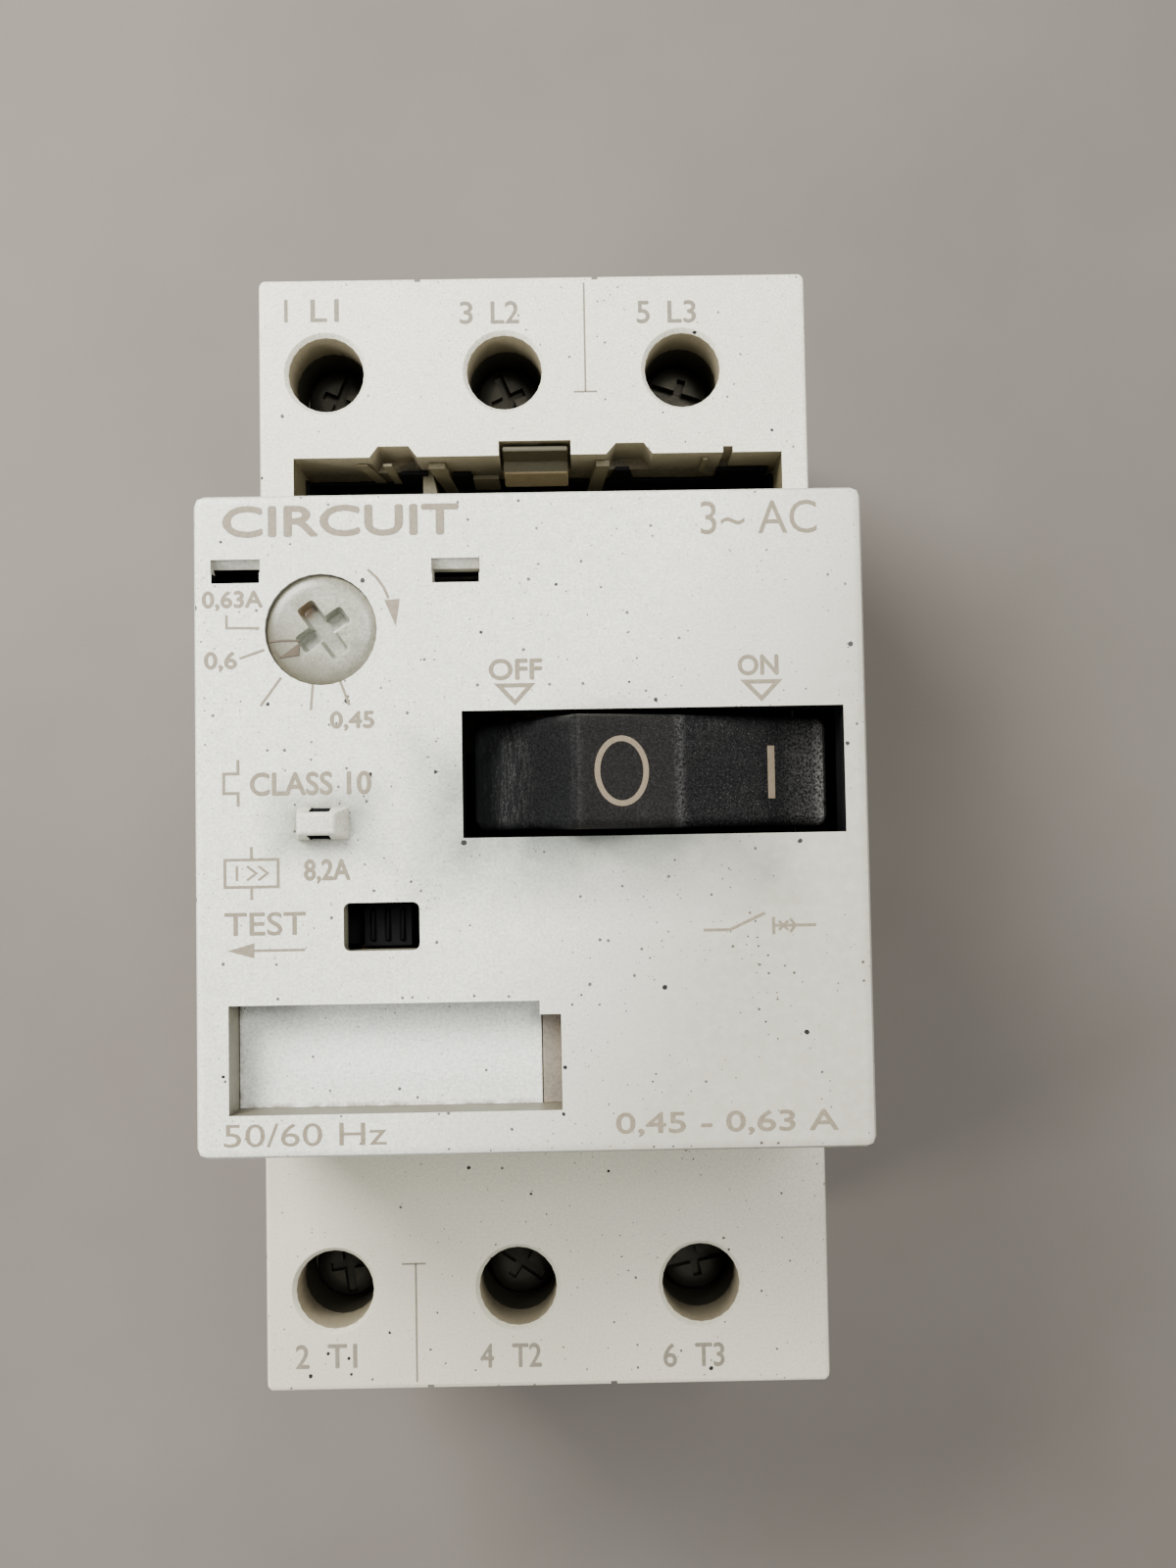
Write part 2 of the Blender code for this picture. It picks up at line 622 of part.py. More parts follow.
def make_bimetal(index, x):
    """Upright bimetal strip with its heater winding."""
    bm = bmesh.new()
    add_box(bm, (x - 2.0, -19.4, 9.2), (x + 2.0, -18.6, 34.4))
    finish(f"bimetal_{index}", bm, "brass")
    bm = bmesh.new()
    path = []
    turns = 5
    per_turn = 8
    for i in range(turns * per_turn + 1):
        angle = math.tau * i / per_turn
        path.append((x + 3.0 * math.cos(angle), -19.0 + 1.6 * math.sin(angle),
                     12.5 + 12.0 * i / (turns * per_turn)))
    add_sweep(bm, path, 0.4, sides=5)
    finish(f"heater_{index}", bm, "steel")


def make_terminal(prefix, index, x, side):
    """Terminal screw and the clamp plate that it presses on the wire."""
    centre = (x + SCREW_OFFSET_X, side * TERMINAL_Y)
    bm = bmesh.new()
    profile = [(0.0, 29.6), (1.6, 29.6), (1.6, 41.0), (2.75, 41.0), (2.75, 42.9),
               (2.3, SCREW_HEAD_TOP_Z), (0.0, SCREW_HEAD_TOP_Z)]
    add_lathe(bm, profile, centre, 16)
    screw = finish(f"{prefix}_screw_{index}", bm, "zinc_steel", (*centre, SCREW_HEAD_TOP_Z))
    for k, (half_u, half_v) in enumerate(((1.9, 0.35), (0.35, 1.9))):
        slot = bmesh.new()
        add_box(slot, (centre[0] - half_u, centre[1] - half_v, SCREW_HEAD_TOP_Z - 1.1),
                (centre[0] + half_u, centre[1] + half_v, SCREW_HEAD_TOP_Z + 1.0))
        cut(screw, slot, f"cut_{prefix}_screw_{index}_{k}")
    bm = bmesh.new()
    add_box(bm, (x - 4.9, centre[1] - 3.6, CLAMP_LOW_Z), (x + 4.6, centre[1] + 3.6, CLAMP_TOP_Z), bevel=0.3)
    clamp = finish(f"{prefix}_clamp_{index}", bm, "zinc_steel")
    hole = bmesh.new()
    add_rod(hole, centre, 1.9, CLAMP_LOW_Z - 1.0, CLAMP_TOP_Z + 1.0, segments=16)
    cut(clamp, hole, f"cut_{prefix}_clamp_{index}")


# ---------------------------------------------------------------- small pieces

def make_label_plate():
    bm = bmesh.new()
    add_box(bm, (LABEL_LOW[0] + 0.3, LABEL_LOW[1] + 0.3, LABEL_FLOOR_Z + 0.3),
            (LABEL_HIGH[0] - 0.3, LABEL_HIGH[1] - 0.3, LABEL_FLOOR_Z + 0.8))
    finish("label_plate", bm, "cover_white")


def make_accessory_latch():
    """Resilient tongue that an auxiliary switch snaps onto in the slot."""
    bm = bmesh.new()
    add_prism(bm, [(28.9, 35.4), (30.0, 35.4), (30.0, 46.4), (31.0, 47.0), (31.0, 49.0), (30.4, 49.6),
                   (29.3, 47.6), (28.9, 45.0)], -2.5, 2.5, "X")
    finish("accessory_latch", bm, "beige_plastic")


def make_springs():
    make_spring("rail_clip_spring", (2.45, 0.0), 1.5, 0.3, -33.3, -24.7, 5, "Y")
    make_spring("test_spring", (-7.1, 67.5), 0.5, 0.2, -20.3, -16.3, 5, "X")
    make_spring("opening_spring", (POLE_PITCH / 2, 3.0), 0.85, 0.25, 31.3, 39.7, 5)
    for index, x in enumerate(POLES, start=1):
        make_spring(f"contact_spring_{index}", (x, 3.0), 1.5, 0.3, 19.7, 25.7, 4)


def build():
    clear_scene()
    make_base_housing()
    make_rail_clip()
    make_upper_housing()
    make_front_cover()
    make_window_liner()
    make_rocker()
    make_rocker_pins()
    make_mechanism_frame()
    make_contact_carrier()
    make_dial()
    make_test_slider()
    make_trip_bar()
    for index, x in enumerate(POLES, start=1):
        make_conductors(index, x)
        make_contact_bridge(index, x)
        make_arc_chute(index, x)
        make_trip_coil(index, x)
        make_trip_plunger(index, x)
        make_bimetal(index, x)
        make_terminal("line", index, x, 1)
        make_terminal("load", index, x, -1)
    make_label_plate()
    make_accessory_latch()
    make_springs()


build()
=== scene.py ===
"""Looks of a three-pole motor protection breaker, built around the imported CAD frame.
Lengths are in millimetres until add_object turns them into metres. The camera, the lights and what
works on finished objects are in metres."""
import json
import math

import bmesh
import bpy
from mathutils import Matrix, Vector


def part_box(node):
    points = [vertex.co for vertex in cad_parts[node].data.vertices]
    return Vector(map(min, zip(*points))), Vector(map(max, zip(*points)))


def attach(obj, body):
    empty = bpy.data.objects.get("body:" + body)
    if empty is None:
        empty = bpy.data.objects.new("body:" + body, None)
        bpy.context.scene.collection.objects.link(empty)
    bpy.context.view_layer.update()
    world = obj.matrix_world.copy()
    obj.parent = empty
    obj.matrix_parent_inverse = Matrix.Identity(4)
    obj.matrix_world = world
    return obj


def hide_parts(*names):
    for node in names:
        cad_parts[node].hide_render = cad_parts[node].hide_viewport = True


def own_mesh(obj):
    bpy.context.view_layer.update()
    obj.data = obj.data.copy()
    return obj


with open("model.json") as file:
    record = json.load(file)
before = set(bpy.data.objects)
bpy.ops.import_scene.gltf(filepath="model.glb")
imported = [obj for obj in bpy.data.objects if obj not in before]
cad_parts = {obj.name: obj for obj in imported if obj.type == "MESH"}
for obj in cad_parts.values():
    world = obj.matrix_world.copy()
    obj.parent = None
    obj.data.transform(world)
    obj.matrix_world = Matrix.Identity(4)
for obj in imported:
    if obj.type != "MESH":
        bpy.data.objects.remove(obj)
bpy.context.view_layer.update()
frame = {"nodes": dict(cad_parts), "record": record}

MM = 0.001
NODES = frame["nodes"]

# Planes and places on the breaker
COVER_LOW, COVER_HIGH = (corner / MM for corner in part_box("front_cover"))
HOUSING_LOW, HOUSING_HIGH = (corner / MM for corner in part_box("upper_housing"))
BASE_LOW, BASE_HIGH = (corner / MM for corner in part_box("base_housing"))
SHOULDER_Z = HOUSING_HIGH.z
FRONT_Z = 73.0
DIAL = Vector((-13.92, 12.72, 0.0))
PIVOT = Vector((8.15, 2.87, 65.0))
SCREW_X = tuple(pole - 2.35 for pole in (-14.65, 0.0, 14.65))
TERMINAL_Y = 37.1
SLOT_LOW = Vector((-19.7, 22.4, 35.0))
GROOVES_X = (-9.65, 4.95)
PRINT_LIFT = 0.012
PRINT_DEPTH = 0.02
FLAT_ANGLE = math.radians(0.6)    # flatter edges are no edges
SOFT_ANGLE = math.radians(32.0)   # sharper edges are rounded
WELD = 0.000002                   # in metres, vertices closer than this are one


def terminals():
    """Side, number and centre of each of the six terminals."""
    for side, sign in (("line", 1), ("load", -1)):
        for number, x in enumerate(SCREW_X, 1):
            yield side, number, (x, sign * TERMINAL_Y)


def new_object(name, data):
    obj = bpy.data.objects.new(name, data)
    bpy.context.scene.collection.objects.link(obj)
    return obj


# ---- camera, floor and light

def make_camera():
    data = bpy.data.cameras.new("camera")
    data.lens = 34.665
    data.sensor_width = 36.0
    data.clip_start = 0.005
    data.clip_end = 10.0
    camera = new_object("camera", data)
    camera.location = (0.0028805, -0.002363, 0.173396)
    camera.rotation_euler = [math.radians(a) for a in (2.5413, -0.451, -1.0024)]
    bpy.context.scene.camera = camera


def make_floor():
    bm = bmesh.new()
    bmesh.ops.create_grid(bm, x_segments=8, y_segments=8, size=1500.0)
    floor = add_object("floor", bm, floor_material())
    floor.location.z = -0.02 * MM


def area_light(name, place, size, power, colour):
    """Square lamp aimed at the middle of the breaker."""
    data = bpy.data.lights.new(name, "AREA")
    data.shape = "RECTANGLE"
    data.size = data.size_y = size
    data.energy = power
    data.color = colour
    light = new_object(name, data)
    light.location = place
    towards = Vector((0.0, 0.0, 0.06)) - Vector(place)
    light.rotation_euler = towards.to_track_quat("-Z", "Y").to_euler()
    light.visible_camera = False


def make_lights():
    world = bpy.data.worlds.new("studio")
    world.use_nodes = True
    sky = world.node_tree.nodes["Background"].inputs
    sky["Color"].default_value = (0.93, 0.96, 1.0, 1.0)
    sky["Strength"].default_value = 0.42
    bpy.context.scene.world = world
    area_light("key", (-0.135, 0.155, 0.275), 0.13, 2.15, (1.0, 0.985, 0.95))
    area_light("above", (0.09, 0.10, 0.44), 0.10, 0.72, (1.0, 0.99, 0.97))
    area_light("left", (-0.27, -0.13, 0.24), 0.09, 0.7, (1.0, 0.985, 0.96))
    area_light("right", (0.33, 0.0, 0.20), 0.12, 0.5, (1.0, 0.97, 0.93))


# ---- materials

class Shader:
    """A material being wired: add() makes a node, link sockets are passed as values.
    mm is the place on the object in millimetres, and x, y and z are its parts."""

    def __init__(self, name):
        self.material = bpy.data.materials.new(name)
        self.material.use_nodes = True
        self.tree = self.material.node_tree
        self.tree.nodes.clear()
        output = self.tree.nodes.new("ShaderNodeOutputMaterial")
        self.bsdf = self.tree.nodes.new("ShaderNodeBsdfPrincipled")
        self.tree.links.new(self.bsdf.outputs[0], output.inputs["Surface"])
        place = self.tree.nodes.new("ShaderNodeTexCoord")
        self.mm = self.add("ShaderNodeMapping", {"Vector": place.outputs["Object"],
                                                 "Scale": (1 / MM, 1 / MM, 1 / MM)})
        self.x = self.add("ShaderNodeSeparateXYZ", {"Vector": self.mm})
        self.y, self.z = self.x.node.outputs[1:]

    def set(self, node, name, value):
        socket = node.inputs[name]
        if isinstance(value, bpy.types.NodeSocket):
            self.tree.links.new(value, socket)
        elif hasattr(socket.default_value, "__len__") and len(socket.default_value) == 4:
            socket.default_value = (*value[:3], 1.0)
        else:
            socket.default_value = value

    def add(self, kind, inputs, output=0, **properties):
        node = self.tree.nodes.new(kind)
        for key, value in properties.items():
            setattr(node, key, value)
        for key, value in inputs.items():
            self.set(node, key, value)
        return node.outputs[output]

    def surface(self, **inputs):
        for key, value in inputs.items():
            self.set(self.bsdf, key.replace("_", " "), value)

    def stretched(self, scale):
        return self.add("ShaderNodeMapping", {"Vector": self.mm, "Scale": scale})

    def noise(self, per_mm, detail=2.0, roughness=0.5, at=None):
        return self.add("ShaderNodeTexNoise", {"Vector": at or self.mm, "Scale": per_mm,
                                               "Detail": detail, "Roughness": roughness})

    def remap(self, value, low, high, to_low=0.0, to_high=1.0):
        return self.add("ShaderNodeMapRange", {"Value": value, "From Min": low, "From Max": high,
                                               "To Min": to_low, "To Max": to_high})

    def math(self, operation, a, b=0.0):
        return self.add("ShaderNodeMath", {0: a, 1: b}, operation=operation)

    def times(self, a, b):
        return self.math("MULTIPLY", a, b)

    def mix(self, factor, a, b, blend="MIX"):
        return self.add("ShaderNodeMix", {0: factor, 6: a, 7: b}, 2, data_type="RGBA", blend_type=blend)

    def tint(self, base, colour):
        return self.mix(1.0, base, colour, "MULTIPLY")

    def bump(self, height, depth):
        return self.add("ShaderNodeBump", {"Height": height, "Distance": depth * MM, "Strength": 1.0})

    def past_edge(self, low_x, high_x, low_y, high_y):
        """Distance outside a rectangle, negative inside it."""
        sides = [self.math("SUBTRACT", *pair) for pair in
                 ((low_x, self.x), (self.x, high_x), (low_y, self.y), (self.y, high_y))]
        return self.math("MAXIMUM", self.math("MAXIMUM", *sides[:2]), self.math("MAXIMUM", *sides[2:]))

    def distance(self, x, y):
        """Distance from an upright axis."""
        across = self.math("POWER", self.math("SUBTRACT", self.x, x), 2.0)
        up = self.math("POWER", self.math("SUBTRACT", self.y, y), 2.0)
        return self.math("SQRT", self.math("ADD", across, up))

    def specks(self, per_mm, share, size):
        """1 inside sparse round dust specks, in a share of the cells."""
        cell = self.add("ShaderNodeTexVoronoi", {"Vector": self.mm, "Scale": per_mm})
        voronoi = cell.node
        wobble = self.noise(4.0, 2.0)
        chance = self.add("ShaderNodeSeparateColor", {"Color": voronoi.outputs["Color"]})
        picked = self.math("LESS_THAN", chance, share)
        reach = self.times(chance.node.outputs[1], size * per_mm)
        edge = self.times(self.math("ADD", wobble, 0.5), reach)
        return self.times(picked, self.math("LESS_THAN", voronoi.outputs["Distance"], edge))

    def crevice(self, reach, low, high):
        """1 deep in corners and holes, 0 on open faces."""
        open_share = self.add("ShaderNodeAmbientOcclusion", {"Distance": reach * MM}, 1, samples=4)
        return self.remap(open_share, high, low)


def shade(colour, factor):
    return tuple(channel * factor for channel in colour)


def plastic(name, colour, roughness, grain=0.20, mottle=0.05, dust=0.0, grime_and_shade=0.0,
            soil_and_shade_colour=(0.33, 0.24, 0.13), reach=1.6, translucent=0.0, depth_shade=None, sheen=0.5,
            light_falloff=None, edges=None, corner_shade=0.0, stain=None, smudges_and_shadows=(), rim_shade=None):
    """Moulded plastic: cloudy colour, spark-eroded grain, dust specks, and streaky darkening in its
    corners that is part dirt, part painted shade.
    depth_shade = (top, bottom, colour) fades to a darker colour between two heights: painted shade deep in
    holes and slots.
    light_falloff = ((x weight, y weight), start, end, tint) tints the colour gradually across the part: a
    painted light falloff, darker for a tint under 1, lighter over 1.
    edges = (low x, high x, low y, high y, width, colour) darkens the borders of a plate towards a colour,
    in broken patches.
    corner_shade darkens the surface evenly towards corners and raised details: painted shade from ambient
    occlusion.
    stain = (x, y, radius, colour) is a dirty spot.
    smudges_and_shadows lists (low x, high x, low y, high y, reach): a soft cool darkening round a box,
    used for a painted shadow round the eyelet and a darkening under the rocker window.
    rim_shade = (x, y, inner, outer, colour) is a painted shade that grows towards a round rim."""
    s = Shader(name)
    cloud = s.noise(0.09, 3.0, 0.6)
    base = s.mix(s.remap(cloud, 0.3, 0.7), shade(colour, 1.0 - mottle), shade(colour, 1.0 + mottle * 0.5))
    # painted shade: darker between two heights, deeper in holes and slots
    if depth_shade:
        top, bottom, deep = depth_shade
        base = s.mix(s.remap(s.z, top, bottom), base, deep)
    # painted light falloff: the colour is tinted gradually across the part
    if light_falloff:
        (across, up), start, end, tint = light_falloff
        way = s.math("ADD", s.times(s.x, across), s.times(s.y, up))
        base = s.mix(s.remap(way, start, end), base, s.tint(base, tint))
    blotch = s.remap(s.noise(1.3, 4.0, 0.65), 0.42, 0.72, 0.0, 6.0 * mottle)
    base = s.mix(blotch, base, shade(colour, 0.66))
    fine = s.noise(1.0 / grain, 2.0, 0.6)
    base = s.mix(s.remap(fine, 0.35, 0.75, 0.0, 0.7), base, shade(colour, 0.50))
    # streaky darkening towards corners and holes from ambient occlusion: part dirt, part painted shade
    if grime_and_shade:
        streak = s.remap(s.noise(0.55, 4.0, 0.65), 0.36, 0.66)
        dirt_and_shade = s.times(s.crevice(reach, 0.35, 0.85), streak)
        base = s.mix(s.times(dirt_and_shade, grime_and_shade), base, soil_and_shade_colour)
    # painted shade: even darkening towards corners and raised details
    if corner_shade:
        base = s.mix(s.times(s.crevice(3.0, 0.60, 0.98), corner_shade), base, s.tint(base, (0.35, 0.33, 0.29)))
    if edges:
        *plate, width, tone = edges
        border = s.remap(s.past_edge(*plate), -width, -0.02, 0.0, 0.85)
        broken = s.remap(s.noise(1.1, 4.0, 0.7), 0.38, 0.60)
        base = s.mix(s.times(border, broken), base, tone)
    # painted shade that grows towards a round rim
    if rim_shade:
        x, y, inner, outer, tone = rim_shade
        base = s.mix(s.remap(s.distance(x, y), inner, outer, 0.0, 0.9), base, tone)
    if stain:
        x, y, radius, spot = stain
        ragged = s.math("ADD", s.distance(x, y), s.remap(s.noise(2.5, 3.0, 0.7), 0.3, 0.7, -0.3, 0.3))
        base = s.mix(s.remap(ragged, radius, radius * 0.35, 0.0, 0.8), base, spot)
    # soft cool darkening round boxes: a painted shadow round the eyelet, and a darkening under the rocker
    # window
    for *window, far in smudges_and_shadows:
        away = s.math("MAXIMUM", s.past_edge(*window), 0.0)
        patchy = s.remap(s.noise(0.17, 3.0, 0.6), 0.38, 0.56, 0.7, 1.0)
        near = s.math("POWER", s.remap(away, far, 0.0), 1.2)
        base = s.mix(s.times(near, patchy), base, s.tint(base, (0.25, 0.275, 0.27)))
    if dust:
        gather = s.remap(s.noise(0.16, 3.0, 0.6), 0.40, 0.62, 0.25, 1.0)
        many = s.times(gather, dust)
        base = s.mix(s.times(s.specks(3.2, many, 0.065), 0.75), base, (0.10, 0.08, 0.05))
        base = s.mix(s.times(s.specks(1.7, many, 0.12), 0.9), base, (0.05, 0.04, 0.03))
        base = s.mix(s.specks(0.62, dust, 0.20), base, (0.004, 0.004, 0.004))
    gloss = s.remap(s.noise(0.35, 3.0), 0.3, 0.7, roughness - 0.05, roughness + 0.07)
    s.surface(Base_Color=base, Roughness=gloss, Normal=s.bump(fine, 0.008), Specular_IOR_Level=sheen)
    if translucent:
        s.surface(Subsurface_Weight=translucent, Subsurface_Radius=(1.0, 0.9, 0.7),
                  Subsurface_Scale=0.6 * MM)
    return s.material


def charcoal_plastic(name):
    """Coarse texture of a dark rocker with painted light: a lighter middle facet, a lighter low left end,
    pale highlights along its edges and right end, and pale glints; and scratches.
    """
    # painted light: each facet gets its own darkness, the middle one lighter
    left, middle, right = (0.0014, 0.0016, 0.0020), (0.0058, 0.0054, 0.0050), (0.0015, 0.0017, 0.0021)
    pale = (0.085, 0.084, 0.080)
    s = Shader(name)
    grain = s.noise(6.0, 3.0, 0.75)
    cloud = s.noise(0.45, 3.0, 0.6)
    base = s.mix(s.remap(s.x, 2.98, 3.10), left, middle)
    base = s.mix(s.remap(s.x, 9.7, 10.0), base, right)
    base = s.mix(s.remap(cloud, 0.35, 0.7, 0.0, 0.5), base, s.tint(base, (1.7, 1.7, 1.7)))
    # the low left end is painted lighter grey: painted light where the window wall shades it
    lit_low_end = s.math("POWER", s.remap(s.z, 72.2, 67.2), 2.2)
    lit_low_end = s.times(lit_low_end, s.remap(cloud, 0.3, 0.65, 0.6, 1.0))
    base = s.mix(s.times(lit_low_end, s.remap(s.x, 3.0, 1.5)), base, (0.06, 0.063, 0.066))
    # painted highlights: pale lines along the ridge and the facet edge, and at the right end
    rough_line = s.remap(grain, 0.40, 0.62)
    for place, width, strength in ((3.2, 0.22, 0.12), (9.9, 0.5, 0.60), (16.75, 0.15, 0.10)):
        line = s.remap(s.math("ABSOLUTE", s.math("SUBTRACT", s.x, place)), width, 0.0, 0.0, strength)
        base = s.mix(s.times(line, rough_line), base, pale)
    # the rounded right end is painted paler: a painted highlight
    base = s.mix(s.times(s.remap(s.x, 16.8, 19.6, 0.1, 0.95), rough_line), base, pale)
    base = s.mix(s.times(s.remap(s.x, 19.3, 19.9, 0.0, 0.6), rough_line), base, (0.30, 0.30, 0.28))
    # pale sparkle dots painted into the colour, most on the right: painted glints
    sparkle = s.remap(s.noise(9.0, 2.0, 0.7), 0.57, 0.70, 0.0, 0.5)
    base = s.mix(s.times(sparkle, s.remap(s.x, 3.0, 12.0, 0.12, 1.0)), base, pale)
    bent = s.noise(1.6, 5.0, 0.8, s.stretched((1.0, 0.12, 0.3)))
    scratch = s.remap(s.math("ABSOLUTE", s.math("SUBTRACT", bent, 0.5)), 0.011, 0.0)
    few = s.remap(s.noise(0.22, 2.0), 0.52, 0.62, 0.0, 0.10)
    worn = s.math("MAXIMUM", few, s.remap(s.x, 0.5, -2.0, 0.0, 0.38))
    base = s.mix(s.times(scratch, worn), base, (0.26, 0.255, 0.24))
    gloss = s.remap(grain, 0.3, 0.75, 0.66, 0.45)
    s.surface(Base_Color=base, Roughness=gloss, Normal=s.bump(grain, 0.035), Specular_IOR_Level=0.09)
    return s.material


def metal(name, colour, roughness, brush=(1.0, 1.0, 1.0)):
    """Plated or bare metal with fine drawing marks and dull patches."""
    s = Shader(name)
    patch = s.remap(s.noise(0.5, 4.0, 0.6), 0.4, 0.7)
    base = s.mix(s.times(patch, 0.35), colour, shade(colour, 0.55))
    marks = s.noise(9.0, 3.0, 0.6, s.stretched(brush))
    gloss = s.remap(marks, 0.3, 0.7, roughness - 0.08, roughness + 0.12)
    s.surface(Base_Color=base, Roughness=gloss, Metallic=1.0, Normal=s.bump(marks, 0.006))
    return s.material


def ink(name, colour, fade=0.18):
    """Printed or lasered mark, slightly uneven."""
    s = Shader(name)
    worn = s.remap(s.noise(3.0, 3.0, 0.7), 0.35, 0.72, 0.0, fade)
    tone = s.mix(worn, colour, (0.5, 0.47, 0.4))
    s.surface(Base_Color=tone, Roughness=0.6, Normal=s.bump(s.noise(7.0, 2.0), 0.006))
    return s.material


def floor_material():
    s = Shader("pale_floor")
    cloud = s.noise(0.012, 4.0, 0.6)
    tone = s.mix(s.remap(cloud, 0.3, 0.7), (0.135, 0.120, 0.102), (0.170, 0.153, 0.133))
    # paler far away, where the lamps don't reach
    away = s.add("ShaderNodeVectorMath", {"Vector": s.mm}, 1, operation="LENGTH")
    tone = s.mix(s.remap(away, 150.0, 520.0), tone, (0.60, 0.57, 0.53))
    s.surface(Base_Color=tone, Roughness=0.75, Normal=s.bump(s.noise(1.2, 3.0), 0.02))
    return s.material

# cover: a cool darkening under the rocker window, and a painted shadow round the eyelet
MATERIALS = {
    "white": plastic(
        "cover_white_grain", (0.84, 0.845, 0.745), 0.42, dust=0.5, grime_and_shade=0.35, mottle=0.085, corner_shade=0.45,
        # painted light falloff: darker and warmer towards the right and the bottom
        light_falloff=((1.0, -0.5), 0.0, 18.0, (0.52, 0.48, 0.43)),
        smudges_and_shadows=((-4.1, 13.0, -1.6, 1.5, 6.0), (-15.3, -12.2, -0.45, 0.15, 3.4))),
    "eyelet": plastic("eyelet_cream", (0.70, 0.68, 0.57), 0.42, grime_and_shade=0.9, mottle=0.06, reach=1.0),
    "card": plastic(
        "card_white", (0.87, 0.885, 0.825), 0.38, dust=0.25, mottle=0.03,
        edges=(-20.3, 0.6, -19.45, -12.0, 0.45, (0.16, 0.125, 0.07))),
    # recess walls and sill: dirt and painted shade
    "walls": plastic(
        "recess_walls_dirt_and_shade", (0.235, 0.225, 0.165), 0.5, grime_and_shade=1.0, mottle=0.08, soil_and_shade_colour=(0.06, 0.05, 0.035),
        reach=0.8),
    "sill": plastic(
        "recess_sill_dirt_and_shade", (0.17, 0.155, 0.105), 0.5, grime_and_shade=1.0, mottle=0.1, soil_and_shade_colour=(0.07, 0.05, 0.03),
        reach=0.8),
    "strip": plastic("strip_taupe", (0.25, 0.218, 0.175), 0.25, grime_and_shade=0.6, reach=0.8, translucent=0.3),
    # darker towards the bottom left: painted shadow of the cover on the lower shoulder
    "cream": plastic(
        "housing_cream_grain", (0.865, 0.845, 0.70), 0.45, dust=0.3, grime_and_shade=0.75, mottle=0.06,
        light_falloff=((-0.6, -1.0), -30.0, 42.0, (0.66, 0.64, 0.59))),
    "base": plastic("base_grey_grain", (0.68, 0.665, 0.585), 0.5, dust=0.12, grime_and_shade=0.6, mottle=0.07),
    "clip": plastic("clip_grey_grain", (0.62, 0.62, 0.57), 0.5, grime_and_shade=0.5),
    "black": plastic("black_plastic_grain", (0.0022, 0.0024, 0.0028), 0.6, grain=0.22, sheen=0.10),
    "beige": plastic("beige_plastic_grain", (0.47, 0.42, 0.28), 0.5, grime_and_shade=0.4),
    # dial: lighter to the right as painted light, darker towards its rim as painted shade
    "dial": plastic(
        "dial_translucent", (0.34, 0.335, 0.265), 0.28, grime_and_shade=0.35, reach=1.0, translucent=0.3,
        mottle=0.10, light_falloff=((0.9, 0.45), -9.5, -4.0, (1.25, 1.27, 1.32)),
        rim_shade=(-13.35, 13.05, 1.9, 4.2, (0.085, 0.080, 0.052))),
    # cross recess: painted shade, with a real dirt stain at one arm
    "dial_cross": plastic(
        "dial_cross_grey_shade", (0.30, 0.31, 0.25), 0.3, grime_and_shade=0.35, reach=0.4, translucent=0.3, mottle=0.12,
        soil_and_shade_colour=(0.25, 0.17, 0.08), stain=(-15.0, 14.15, 0.75, (0.20, 0.12, 0.05))),
    # slot walls and ribs: painted shade and dirt, darker still with depth
    "olive": plastic(
        "slot_olive", (0.145, 0.126, 0.071), 0.55, grime_and_shade=0.6, reach=6.0, soil_and_shade_colour=(0.10, 0.08, 0.04),
        depth_shade=(46.5, 43.0, (0.035, 0.030, 0.018))),
    "rib": plastic(
        "slot_rib", (0.18, 0.156, 0.09), 0.55, grime_and_shade=0.6, reach=4.0, soil_and_shade_colour=(0.10, 0.08, 0.04),
        depth_shade=(47.5, 41.5, (0.05, 0.042, 0.025))),
    "latch_top": plastic("latch_olive", (0.062, 0.053, 0.028), 0.55, grime_and_shade=0.6, soil_and_shade_colour=(0.06, 0.05, 0.03)),
    "tongue": plastic("tongue_tan", (0.27, 0.215, 0.12), 0.5, grime_and_shade=0.5, soil_and_shade_colour=(0.16, 0.12, 0.05)),
    # screw bores: dirt, and painted shade that deepens with depth
    "stained_and_shaded": plastic(
        "bore_stained_and_shaded", (0.40, 0.35, 0.24), 0.5, grime_and_shade=0.8, reach=3.0, soil_and_shade_colour=(0.14, 0.10, 0.045),
        depth_shade=(50.6, 45.4, (0.030, 0.027, 0.016))),
    # near black sleeves: painted shade deep in the screw holes
    "guide": plastic("guide_painted_shade", (0.030, 0.027, 0.016), 0.5),
    "charcoal": charcoal_plastic("charcoal_sparkle"),
    # zinc plating darkened to near black: painted shade for the screws deep in their holes
    "zinc": metal("zinc_plate_shaded", (0.062, 0.058, 0.046), 0.5),
    "oxide": metal("black_oxide", (0.02, 0.02, 0.02), 0.6),
    "bright": metal("drawn_steel", (0.55, 0.55, 0.54), 0.28, (1.0, 1.0, 0.1)),
    "dark": metal("splitter_steel", (0.25, 0.24, 0.23), 0.45, (0.1, 1.0, 1.0)),
    "copper": metal("copper_strip", (0.72, 0.42, 0.27), 0.32, (1.0, 0.1, 0.1)),
    "brass": metal("bimetal_strip", (0.68, 0.56, 0.34), 0.32, (1.0, 1.0, 0.1)),
    "taupe": ink("taupe_print", (0.178, 0.147, 0.097)),
    "grey": ink("grey_print", (0.155, 0.135, 0.098)),
    "pale": ink("rocker_inlay", (0.16, 0.122, 0.076), 0.10),
    "brown": ink("pointer_brown", (0.060, 0.040, 0.020), 0.03),
}


# ---- mesh helpers

def add_object(name, bm, material):
    bmesh.ops.scale(bm, vec=(MM, MM, MM), verts=bm.verts)
    bmesh.ops.recalc_face_normals(bm, faces=bm.faces)
    mesh = bpy.data.meshes.new(name)
    bm.to_mesh(mesh)
    bm.free()
    mesh.materials.append(material)
    return new_object(name, mesh)


